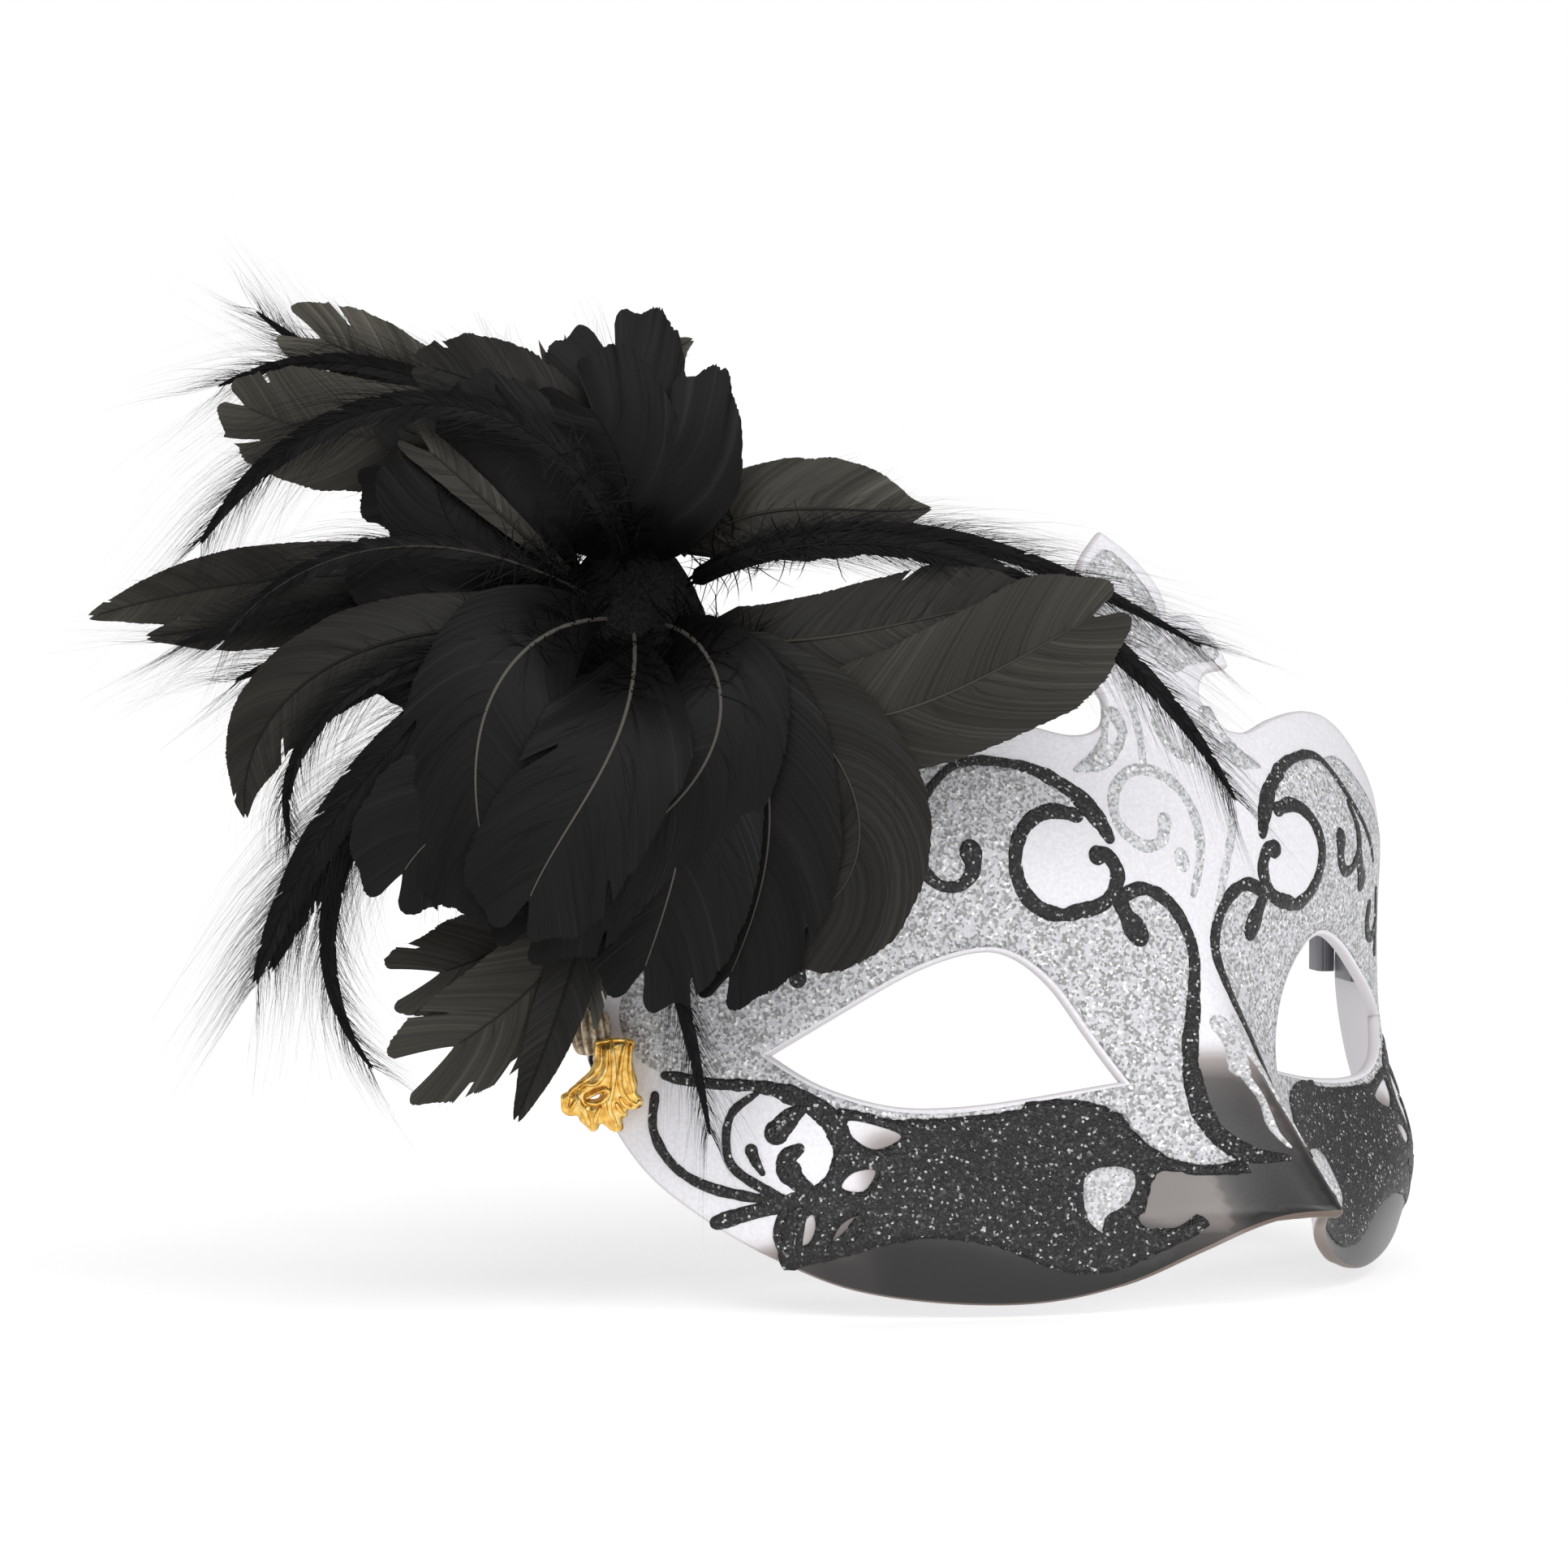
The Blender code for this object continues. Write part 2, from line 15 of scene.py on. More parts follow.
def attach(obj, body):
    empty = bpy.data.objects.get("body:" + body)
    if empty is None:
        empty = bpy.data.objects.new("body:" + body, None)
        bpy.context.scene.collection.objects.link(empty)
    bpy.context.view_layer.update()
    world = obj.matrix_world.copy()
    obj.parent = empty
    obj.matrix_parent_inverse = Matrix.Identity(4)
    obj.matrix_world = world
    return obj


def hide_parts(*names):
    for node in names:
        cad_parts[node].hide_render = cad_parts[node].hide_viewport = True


MM = 0.001
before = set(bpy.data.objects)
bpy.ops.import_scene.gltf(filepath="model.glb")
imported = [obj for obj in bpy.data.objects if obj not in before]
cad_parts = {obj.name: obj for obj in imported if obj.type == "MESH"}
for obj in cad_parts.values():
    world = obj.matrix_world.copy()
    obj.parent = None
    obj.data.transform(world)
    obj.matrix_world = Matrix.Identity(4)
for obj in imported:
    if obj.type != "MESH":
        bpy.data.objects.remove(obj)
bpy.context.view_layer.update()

# ---- shell surface
HALF_WIDTH, HALF_DEPTH, WRAP, WALL = 84.0, 72.0, 80.0, 1.8
CREST_LEAN, BROW_TOP = 0.49, 28             # how far the crest leans back, from this height
NOSE_SLOPE, NOSE_TOP, NOSE_TIP = 0.88, 6.5, -26
# height of each swell, its middle round the face and up, its reach each way
SWELLS = [(-4.5, 36, -1, 21, 17), (5.5, 58, -24, 26, 14), (3.0, 30, -34, 18, 10),
          (1.5, 45, 26, 30, 9)]
CHIN_EDGE = [(0, -25), (5, -26), (12, -31), (20, -35.5), (30, -38), (42, -38), (55, -36),
             (65, -32), (76, -26), (86, -19), (93, -10), (97, 2), (94, 12), (85, 20),
             (72, 28), (60, 36), (48, 43), (37, 45), (26, 44), (17, 42), (11, 43.5),
             (9, 48), (12, 51.5), (18, 52.5)]
CREST_LOBE = [(18, 52.5), (17, 56), (13, 59.5), (7, 59)]
CREST_LEAF = [(7, 59), (8, 63), (5, 68), (0, 72)]
EYE_UPPER = [(15, -8), (19, -1), (24, 6), (30, 10.5), (36, 11.5), (45, 9), (56, 3.5), (68, -3)]
EYE_LOWER = [(68, -3), (60, -7.5), (50, -10.5), (40, -11), (28, -10), (15, -8)]


def soft_step(value, width):
    return width * np.logaddexp(0, value / width)


def dome(s, z, cs, cz, rs, rz):
    return np.exp(-((s - cs) / rs) ** 2 - ((z - cz) / rz) ** 2)


def shell_at(s, z):
    """Outer face of the shell for arrays of s and z, in millimetres."""
    s, z = np.asarray(s, float), np.asarray(z, float)
    turn = s / WRAP
    x = HALF_WIDTH * np.sin(turn)
    y = HALF_DEPTH * (1 - np.cos(turn))
    ox, oy = HALF_DEPTH * np.sin(turn), -HALF_WIDTH * np.cos(turn)
    size = np.hypot(ox, oy)
    side = np.abs(s)
    y = y + CREST_LEAN * soft_step(z - BROW_TOP, 8) * np.exp(-(side / 75) ** 4)
    swell = sum(height * dome(side, z, *spread) for height, *spread in SWELLS)
    x, y = x + swell * ox / size, y + swell * oy / size
    nose = NOSE_SLOPE * soft_step(NOSE_TOP - z, 4)
    under = NOSE_SLOPE * soft_step(NOSE_TOP - NOSE_TIP, 4) + 0.15 * (z - NOSE_TIP)
    nose = np.where(z < NOSE_TIP, under, nose)
    reach = 6 + 0.20 * np.clip(4 - z, 0, 40)
    y = y - nose * np.exp(-(np.sqrt(x * x + 6.25) - 2.5) / reach)
    return np.stack([x, y, z + 0 * x], -1)


def unit(v):
    return v / np.linalg.norm(v, axis=-1, keepdims=True)


def shell_normal(s, z):
    d = 0.25
    along = shell_at(s + d, z) - shell_at(s - d, z)
    rise = shell_at(s, z + d) - shell_at(s, np.asarray(z) - d)
    return unit(np.cross(along, rise))


def on_shell(s, z, lift):
    return shell_at(s, z) + shell_normal(s, z) * np.asarray(lift)[..., None]


# ---- small helpers
def smooth_run(points, spacing, closed=False):
    """Catmull-Rom run through the points at about the spacing given."""
    pts = [np.array(p, float) for p in points]
    path = [pts[-1]] + pts + pts[:2] if closed else [pts[0]] + pts + [pts[-1]]
    out = []
    for k in range(1, len(path) - 2):
        p0, p1, p2, p3 = path[k - 1:k + 3]
        count = max(1, round(np.linalg.norm(p2 - p1) / spacing))
        for j in range(count):
            t = j / count
            near, far = (p2 - p0) * 0.5, (p3 - p1) * 0.5
            spot = p1 * (2 * t**3 - 3 * t**2 + 1) + near * (t**3 - 2 * t**2 + t)
            out.append(spot + p2 * (3 * t**2 - 2 * t**3) + far * (t**3 - t**2))
    if not closed:
        out.append(pts[-1])
    return np.array(out)


def inside(points, loop):
    """Even-odd test of many points against a closed loop."""
    x, y = points[:, 0][:, None], points[:, 1][:, None]
    x1, y1 = loop[:, 0], loop[:, 1]
    x2, y2 = np.roll(x1, 1), np.roll(y1, 1)
    rise = np.where(y2 == y1, 1e-9, y2 - y1)
    cross = ((y1 > y) != (y2 > y)) & (x < (x2 - x1) * (y - y1) / rise + x1)
    return cross.sum(1) % 2 == 1


def within(points, outer, holes):
    keep = inside(points, outer)
    for hole in holes:
        keep &= ~inside(points, hole)
    return keep


def gap_to(points, loop):
    best = np.full(len(points), 1e9)
    for p, q in zip(loop, np.roll(loop, -1, axis=0)):
        d = q - p
        t = np.clip(((points - p) @ d) / max(d @ d, 1e-9), 0, 1)
        best = np.minimum(best, np.linalg.norm(points - p - t[:, None] * d, axis=1))
    return best


def fill_flat(outer, holes, grid):
    """Triangles about one grid wide filling a flat outline with holes."""
    loops = [outer] + list(holes)
    lo, hi = outer.min(0), outer.max(0)
    rows = np.arange(lo[1], hi[1], grid * 0.866)
    cells = []
    for k, z in enumerate(rows):
        xs = np.arange(lo[0] + 0.3 * grid + 0.5 * grid * (k % 2), hi[0], grid)
        cells += [(x, z) for x in xs]
    cells = np.array(cells)
    cells = cells[within(cells, outer, holes)]
    near = np.min([gap_to(cells, loop) for loop in loops], axis=0)
    cells = cells[near > 0.55 * grid]
    points = np.vstack(loops + [cells])
    lines, start = [], 0
    for loop in loops:
        n = len(loop)
        lines += [(start + k, start + (k + 1) % n) for k in range(n)]
        start += n
    flat = delaunay_2d_cdt([Vector(p) for p in points], lines, [], 0, 1e-6)
    spots = np.array([tuple(v) for v in flat[0]])
    faces = np.array(flat[2])
    return spots, faces[within(spots[faces].mean(1), outer, holes)]


def border_loops(faces):
    """Directed border edges of a triangle sheet, chained into loops."""
    seen = {}
    for a, b, c in faces.tolist():
        seen.update({(a, b): True, (b, c): True, (c, a): True})
    after = {a: b for a, b in seen if (b, a) not in seen}
    loops = []
    while after:
        start = next(iter(after))
        loop, here = [], start
        while here in after:
            loop.append(here)
            here = after.pop(here)
        loops.append(loop)
    return loops


def face_out(points, faces, normal):
    """The triangles, turned over if they look against the normals."""
    tri = points[faces]
    n = np.cross(tri[:, 1] - tri[:, 0], tri[:, 2] - tri[:, 0])
    return faces[:, ::-1] if (n * normal[faces[:, 0]]).sum() < 0 else faces


def ring_faces(rings, count, closed=False, around=True):
    """Quads between runs of points; around joins a run's ends, closed the last to the first."""
    rows = []
    for r in range(rings if closed else rings - 1):
        q = (r + 1) % rings
        for k in range(count if around else count - 1):
            j = (k + 1) % count
            rows.append((r * count + k, r * count + j, q * count + j, q * count + k))
    return rows


def wall_faces(one, two):
    """Quads from one closed loop of point numbers to another."""
    size = len(one)
    ahead = [(k, (k + 1) % size) for k in range(size)]
    return [(one[j], one[k], two[k], two[j]) for k, j in ahead]


def capped_faces(rings, count):
    last = (rings - 1) * count
    caps = [tuple(range(count - 1, -1, -1)), tuple(range(last, last + count))]
    return ring_faces(rings, count) + caps


def put(name, data):
    made = bpy.data.objects.new(name, data)
    bpy.context.scene.collection.objects.link(made)
    return made


def new_mesh(name, points, faces, material, body="mask", fields=None):
    data = bpy.data.meshes.new(name)
    data.from_pydata((np.asarray(points) * MM).tolist(), [], [list(f) for f in faces])
    data.polygons.foreach_set("use_smooth", [True] * len(data.polygons))
    for label, values in (fields or {}).items():
        field = data.attributes.new(label, "FLOAT", "POINT")
        field.data.foreach_set("value", np.asarray(values, np.float32))
    data.update()
    made = put(name, data)
    for one in material if isinstance(material, (list, tuple)) else [material]:
        data.materials.append(one)
    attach(made, body)
    return made


class Parts:
    """Points, faces and vertex fields of one piece, put together part by part."""

    def __init__(self):
        self.points, self.rows, self.fields, self.count = [], [], {}, 0

    def join(self, spots, rows, **fields):
        self.points.append(spots)
        self.rows += [tuple(self.count + v for v in f) for f in rows]
        for label, value in fields.items():
            self.fields.setdefault(label, []).append(np.zeros(len(spots)) + value)
        self.count += len(spots)

    def mesh(self, name, material):
        fields = {label: np.clip(np.hstack(v), 0, 1) for label, v in self.fields.items()}
        return new_mesh(name, np.vstack(self.points), self.rows, material, fields=fields)


# ---- materials
def shader_of(name, colour, rough, spec, metal=0.0):
    mat = bpy.data.materials.new(name)
    mat.use_nodes = True
    s = mat.node_tree.nodes["Principled BSDF"]
    s.inputs["Base Color"].default_value = (*colour, 1)
    s.inputs["Roughness"].default_value = rough
    s.inputs["Specular IOR Level"].default_value = spec
    s.inputs["Metallic"].default_value = metal
    return mat, mat.node_tree, s


def add(tree, kind, **settings):
    node = tree.nodes.new(kind)
    for key, value in settings.items():
        if key in node.inputs:
            node.inputs[key].default_value = value
        else:
            setattr(node, key, value)
    return node


def ramp(tree, source, stops):
    node = tree.nodes.new("ShaderNodeValToRGB")
    while len(node.color_ramp.elements) < len(stops):
        node.color_ramp.elements.new(0.5)
    for element, (place, colour) in zip(node.color_ramp.elements, stops):
        element.position = place
        element.color = (*colour, 1)
    tree.links.new(source, node.inputs[0])
    return node.outputs[0]


def grey(v):
    return (v, v, v)


def attr(tree, name):
    return add(tree, "ShaderNodeAttribute", attribute_name=name).outputs["Fac"]


def scaled(tree, source, factor):
    node = add(tree, "ShaderNodeMath", operation="MULTIPLY", use_clamp=True)
    tree.links.new(source, node.inputs[0])
    node.inputs[1].default_value = factor
    return node.outputs[0]


def mix_colour(tree, fac, a, b):
    node = add(tree, "ShaderNodeMix", data_type="RGBA")
    for index, value in ((0, fac), (6, a), (7, b)):
        if isinstance(value, (int, float)):
            node.inputs[index].default_value = value
        elif isinstance(value, tuple):
            node.inputs[index].default_value = (*value, 1)
        else:
            tree.links.new(value, node.inputs[index])
    return node.outputs[2]


def texture(tree, kind, **settings):
    node = add(tree, "ShaderNodeTex" + kind, **settings)
    where = add(tree, "ShaderNodeTexCoord").outputs["Object"]
    tree.links.new(where, node.inputs["Vector"])
    return node


def rough_up(tree, shader, source, strength, distance):
    bump = add(tree, "ShaderNodeBump", Strength=strength, Distance=distance)
    tree.links.new(source, bump.inputs["Height"])
    tree.links.new(bump.outputs[0], shader.inputs["Normal"])


def glitter(tree, shader, grain, strength):
    """Grains of glitter: gives a random value a grain and tips each grain's normal."""
    cells = texture(tree, "Voronoi", Scale=1000.0 / grain)
    split = add(tree, "ShaderNodeSeparateColor")
    tree.links.new(cells.outputs["Color"], split.inputs[0])
    rough_up(tree, shader, cells.outputs["Distance"], strength, grain * MM * 0.6)
    return split.outputs[0]


def make_glitter(name, base, rough, spec, grain, bump, stops, fade=0.0):
    """Grains coloured by the stops; fade leans them towards white."""
    mat, tree, s = shader_of(name, base, rough, spec)
    colour = ramp(tree, glitter(tree, s, grain, bump), stops)
    if fade:
        colour = mix_colour(tree, fade, colour, (0.8, 0.8, 0.82))
    tree.links.new(colour, s.inputs["Base Color"])
    return mat


def make_silver(name, dark, light, fade):
    """Silver grains with dark gaps between them."""
    stops = [(0.0, grey(dark)), (0.3, grey(dark * 1.8)),
             (0.55, (light * 0.93, light * 0.93, light)), (0.9, (light, light, light * 1.02)),
             (1.0, grey(1.0))]
    return make_glitter(name, (0.6, 0.6, 0.62), 0.5, 0.4, 0.42, 0.5, stops, fade)


def make_shell_paint():
    """Pearl white, smoked towards the lower cheeks and black down the nose."""
    mat, tree, s = shader_of("pearl_paint", (0.8, 0.79, 0.83), 0.38, 0.45)
    s.inputs["Coat Weight"].default_value = 0.25
    s.inputs["Coat Roughness"].default_value = 0.25
    grain = texture(tree, "Noise", Scale=1800.0, Detail=3.0)
    pearl = ramp(tree, grain.outputs[0], [(0.35, (0.74, 0.725, 0.76)),
                                          (0.65, (0.82, 0.81, 0.85))])
    smoke = ramp(tree, attr(tree, "smoke"), [(0.0, (0.78, 0.76, 0.79)), (0.3, (0.30, 0.26, 0.25)),
                                             (0.6, (0.060, 0.052, 0.049)),
                                             (1.0, (0.006, 0.0055, 0.0055))])
    fac = scaled(tree, attr(tree, "smoke"), 5.0)
    tree.links.new(mix_colour(tree, fac, pearl, smoke), s.inputs["Base Color"])
    rough_up(tree, s, grain.outputs[0], 0.08, 0.0002)
    return mat


def make_rim_paint():
    mat, tree, s = shader_of("rim_paint", (0.3, 0.26, 0.24), 0.45, 0.4)
    edge = ramp(tree, attr(tree, "smoke"), [(0.0, (0.66, 0.63, 0.65)), (0.25, (0.34, 0.29, 0.27)),
                                            (1.0, (0.16, 0.12, 0.10))])
    tree.links.new(edge, s.inputs["Base Color"])
    return mat


def make_feather_black():
    """Black vane, olive-brown where its field is high: partly the feathers' own brown, partly a
    painted satin sheen and highlight.
    """
    mat, tree, s = shader_of("feather_black", (0.01, 0.01, 0.01), 0.5, 0.13)
    tone = attr(tree, "tone")
    dark = ramp(tree, tone, [(0.0, (0.0012, 0.0012, 0.0013)), (0.55, (0.0036, 0.0036, 0.0038)),
                             (1.0, (0.022, 0.022, 0.0225))])
    # olive ramp: the feathers' own olive-brown, rising at its top to painted sheen highlights
    olive = ramp(tree, tone, [(0.0, (0.026, 0.024, 0.019)), (0.5, (0.075, 0.070, 0.058)),
                              (1.0, (0.17, 0.16, 0.135))])
    tree.links.new(mix_colour(tree, attr(tree, "warm"), dark, olive), s.inputs["Base Color"])
    return mat


def grained(name, base, rough, spec, stops, metal=0.0, kind="Noise", out=0, **settings):
    """A material whose colour runs through the stops over a fine texture."""
    mat, tree, s = shader_of(name, base, rough, spec, metal)
    source = texture(tree, kind, **settings).outputs[out]
    colour = ramp(tree, source, stops)
    tree.links.new(colour, s.inputs["Base Color"])
    return mat, tree, s, source, colour


def make_gold():
    stops = [(0.3, (0.62, 0.30, 0.05)), (0.5, (0.90, 0.56, 0.13)), (0.7, (1.0, 0.78, 0.36))]
    mat, tree, s, noise, _ = grained("bright_gold", (0.9, 0.58, 0.16), 0.28, 0.5, stops, 0.9,
                                     Scale=900.0, Detail=4.0)
    rough_up(tree, s, noise, 0.5, 0.0004)
    return mat


def make_old_gold():
    stops = [(0.35, (0.16, 0.10, 0.06)), (0.5, (0.55, 0.42, 0.28)), (0.7, (0.85, 0.74, 0.58))]
    mat, tree, s, _, colour = grained("antique_bead", (0.5, 0.38, 0.24), 0.4, 0.5, stops, 0.35,
                                      Scale=1100.0, Detail=4.0)
    dark = mix_colour(tree, scaled(tree, attr(tree, "groove"), 0.85), colour, (0.05, 0.032, 0.02))
    tree.links.new(dark, s.inputs["Base Color"])
    return mat


BLACK_GLITTER = make_glitter("black_glitter", (0.02, 0.02, 0.02), 0.45, 0.35, 0.34, 0.8,
                             [(0.0, grey(0.006)), (0.55, grey(0.014)), (0.84, grey(0.03)),
                              (0.95, grey(0.08)), (1.0, grey(0.6))])
SILVER_FIELD = make_silver("silver_glitter", 0.16, 0.62, 0.12)
SILVER_CREST = make_silver("crest_glitter", 0.2, 0.62, 0.2)
SHELL_PAINT, RIM_PAINT = make_shell_paint(), make_rim_paint()
FEATHER = make_feather_black()
GOLD, OLD_GOLD = make_gold(), make_old_gold()
RIBBON = grained("ribbon_satin", (0.10, 0.10, 0.11), 0.45, 0.5,
                 [(0.0, (0.09, 0.09, 0.10)), (1.0, (0.19, 0.19, 0.21))],
                 kind="Wave", out=1, Scale=900.0, Distortion=0.5)[0]
FELT = grained("black_felt", (0.01, 0.01, 0.01), 0.95, 0.1,
               [(0.3, grey(0.004)), (0.7, grey(0.016))], Scale=2500.0, Detail=2.0)[0]
CORD = grained("cord_black", (0.012, 0.011, 0.01), 0.6, 0.3,
               [(0.0, grey(0.006)), (1.0, grey(0.03))],
               kind="Wave", out=1, Scale=1200.0, Distortion=1.0)[0]
CREAM = grained("cream_bead_paint", (0.78, 0.7, 0.55), 0.3, 0.5,
                [(0.3, (0.62, 0.52, 0.38)), (0.7, (0.86, 0.80, 0.68))], Scale=1500.0)[0]
INNER_PAINT = shader_of("inner_paint", (0.80, 0.78, 0.81), 0.55, 0.3)[0]


# ---- shell and paint
def ramp_value(x, a, b):
    t = np.clip((np.asarray(x, float) - a) / (b - a), 0, 1)
    return t * t * (3 - 2 * t)


def smoke_at(s, z):
    """How smoked the paint is: 0 pearl, 1 black."""
    side = np.abs(s)
    cheek = ramp_value(-z, 19, 31) * ramp_value(-side, -68, -50)
    cheek = np.maximum(cheek, ramp_value(-z, 27, 33) * ramp_value(-side, -76, -58) * 0.9)
    cheek = cheek * (1 - 0.62 * dome(side, z, 11, -25, 8, 5))
    flank = ramp_value(-z, 0, 13) * ramp_value(-side, -11, -7)
    flank = flank * (1 - 0.45 * dome(side, z, 1.0, -12, 1.6, 5))
    mid = 0.45 * ramp_value(-z, 11, 17) * ramp_value(-side, -58, -50)
    return np.clip(np.maximum(np.maximum(cheek, flank), mid), 0, 1)


def eye_loop():
    return np.vstack([smooth_run(EYE_UPPER, 0.8)[:-1], smooth_run(EYE_LOWER, 0.8)[:-1]])


def build_shell():
    edge = np.vstack([smooth_run(CHIN_EDGE, 0.9)[:-1], smooth_run(CREST_LOBE, 0.8)[:-1],
                      smooth_run(CREST_LEAF, 0.8)])
    top, bottom = edge[-1][1], edge[0][1]
    seam = [(0.0, top + (bottom - top) * k / 110) for k in range(1, 110)]
    edge = np.vstack([edge, seam])
    spots, faces = fill_flat(edge, [eye_loop()], 1.15)
    on_seam = np.abs(spots[:, 0]) < 1e-6
    twin = np.where(on_seam, np.arange(len(spots)), -1)
    fresh = np.flatnonzero(~on_seam)
    twin[fresh] = len(spots) + np.arange(len(fresh))
    both = np.vstack([spots, spots[fresh] * [-1, 1]])
    faces = np.vstack([faces, twin[faces][:, ::-1]])
    s, z = both[:, 0], both[:, 1]
    outer, normal = shell_at(s, z), shell_normal(s, z)
    faces = face_out(outer, faces, normal)
    inner = outer - normal * WALL
    count = len(both)
    points, smoke = [outer, inner], [smoke_at(s, z), np.zeros(count)]
    rows = [tuple(f) for f in faces] + [tuple(f[::-1] + count) for f in faces]
    kinds = [0] * len(faces) + [1] * len(faces)
    start = 2 * count
    for loop in border_loops(faces):
        ring = np.array(loop)
        ahead = outer[np.roll(ring, -1)] - outer[np.roll(ring, 1)]
        out = unit(np.cross(ahead, normal[ring]))
        chain = [ring]
        for turn in (0.25, 0.5, 0.75):
            angle = math.pi * turn
            bulge = 0.55 * math.sin(angle)
            sink = WALL * 0.5 * (1 - math.cos(angle))
            points.append(outer[ring] + out * bulge - normal[ring] * sink)
            smoke.append(smoke_at(s[ring], z[ring]))
            chain.append(np.arange(start, start + len(ring)))
            start += len(ring)
        chain.append(ring + count)
        for one, two in zip(chain, chain[1:]):
            rows += wall_faces(one, two)
            kinds += [2] * len(ring)
    made = new_mesh("shell_moulding", np.vstack(points), rows,
                    [SHELL_PAINT, INNER_PAINT, RIM_PAINT], fields={"smoke": np.hstack(smoke)})
    made.data.polygons.foreach_set("material_index", kinds)
    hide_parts("mask_shell")


def paint_patch(name, outline, holes, lift, material, grid=1.3, sides=(1, -1), ragged=0.0):
    """A raised film of glitter over part of the shell, with its edge turned down."""
    outer = smooth_run(outline, 0.7, True)
    inner = [smooth_run(h, 0.7, True) for h in holes]
    rng = np.random.default_rng(len(name))
    if ragged:
        outer = outer + rng.normal(0, ragged, outer.shape)
    spots, faces = fill_flat(outer, inner, grid)
    for side in sides:
        s, z = spots[:, 0] * side, spots[:, 1]
        order = faces if side > 0 else faces[:, ::-1]
        top = on_shell(s, z, np.full(len(s), lift))
        order = face_out(top, order, shell_normal(s, z))
        rows = [tuple(f) for f in order]
        points, start = [top], len(top)
        for loop in border_loops(order):
            ring = np.array(loop)
            points.append(on_shell(s[ring], z[ring], np.full(len(ring), -0.15)))
            rows += wall_faces(ring, range(start, start + len(ring)))
            start += len(ring)
        word = "left" if side > 0 else "right"
        made = new_mesh(f"{name}_{word}", np.vstack(points), rows, material)


LANES = np.array([-1.0, -0.82, -0.45, 0.0, 0.45, 0.82, 1.0])     # across a glitter line


def stroke_mesh(path, radii, lift=0.34, wobble=0.07, seed=1):
    """Raised bead of glitter along a path with a radius at each control point."""
    path = np.array(path, float)
    line = smooth_run(path, 0.35)
    gaps = np.linalg.norm(np.diff(line, axis=0), axis=1)
    travel = np.r_[0, np.cumsum(gaps)]
    marks = np.linspace(0, 1, len(path))
    if len(path) > 2:
        near = [np.argmin(np.linalg.norm(line - p, axis=1)) for p in path]
        marks = np.maximum.accumulate(travel[near]) + np.arange(len(path)) * 1e-6
        marks /= marks[-1]
    radius = np.interp(travel / travel[-1], marks, radii)
    rng = np.random.default_rng(seed)
    rough = np.convolve(rng.normal(0, 1, len(line) + 4), np.ones(5) / 2.2, "valid")
    radius = radius * (1 + wobble * rough[:len(line)])
    ahead = unit(np.gradient(line, axis=0))
    caps = []
    for end, sign in ((0, -1), (-1, 1)):
        for lean in (0.35, 0.65, 0.87, 0.985):
            grow = radius[end] * lean
            caps.append((line[end] + sign * ahead[end] * grow, ahead[end],
                         radius[end] * math.sqrt(1 - lean * lean)))
    line = np.vstack([[c[0] for c in caps[3::-1]], line, [c[0] for c in caps[4:]]])
    ahead = np.vstack([[c[1] for c in caps[3::-1]], ahead, [c[1] for c in caps[4:]]])
    radius = np.r_[[c[2] for c in caps[3::-1]], radius, [c[2] for c in caps[4:]]]
    across = np.stack([-ahead[:, 1], ahead[:, 0]], 1)
    heights = lift * np.sqrt(np.clip(1 - LANES ** 2, 0, 1)) ** 0.7
    spots = line[:, None, :] + across[:, None, :] * (radius[:, None] * LANES)[..., None]
    full = np.clip(radius / 0.6, 0.25, 1)[:, None] * heights[None, :]
    full[:, [0, -1]] = -0.12
    rows = ring_faces(len(line), len(LANES), around=False)
    return spots.reshape(-1, 2), full.ravel(), rows


def strokes(name, runs, material, sides=(1, -1), lift=0.34):
    for side in sides:
        parts = Parts()
        for k, run in enumerate(runs):
            half = [spot[2] for spot in run]
            flat, heights, faces = stroke_mesh(plan(run), half, lift, seed=k + 3)
            s = flat[:, 0] * side
            spot = on_shell(s, flat[:, 1], heights)
            mid = faces[len(LANES) // 2]
            a, b, c = spot[list(mid[:3])]
            normal = shell_normal(s[mid[0]], flat[mid[0], 1])
            flip = np.dot(np.cross(b - a, c - a), normal) < 0
            parts.join(spot, [f[::-1] for f in faces] if flip else faces)
        word = "left" if side > 0 else "right"
        made = parts.mesh(f"{name}_{word}", material)


# ---- raised scroll work
def arc(centre, across, tall, start, stop, half, steps=9):
    """Points (s, z, half width) along an ellipse, angles in degrees."""
    turn = np.radians(np.linspace(start, stop, steps))
    return [(centre[0] + across * math.cos(a), centre[1] + tall * math.sin(a), half) for a in turn]


def plan(run):
    return [(s, z) for s, z, _ in run]


# every run is a list of (s, z, half width of the line)
BROW_BAND = [(54, 22, 0.5), (46, 30, 0.7), (37, 38, 0.7), (27, 38, 0.9), (20, 34.5, 1.4),
             (16.5, 30.5, 1.6), (15, 27.5, 1.0)]
RING_AT, RING_R = (23, 24), 7.5
BROW_RING = arc(RING_AT, RING_R, RING_R, 115, -120, 1.2)
RING_HOOK = [(19.5, 17, 1.2), (16, 18.5, 1.2), (14.2, 22, 1.4), (15.5, 24.8, 1.3), (17.2, 25, 1.7)]
BROW_TEAR = [(14.5, 19.5, 1.2), (13.2, 16.5, 1.4), (11, 13.3, 2.0)]
NOSE_LINE = [(14.5, 18.5, 1.2), (10.5, 20, 1.2), (6.5, 18.5, 1.3), (3.5, 15, 1.1), (2.2, 10, 1.0),
             (4, 3, 1.0), (6.2, -3, 1.0), (7.4, -9, 1.2), (7.4, -14, 1.4), (5.5, -17.5, 1.5),
             (2.5, -18, 0.6)]
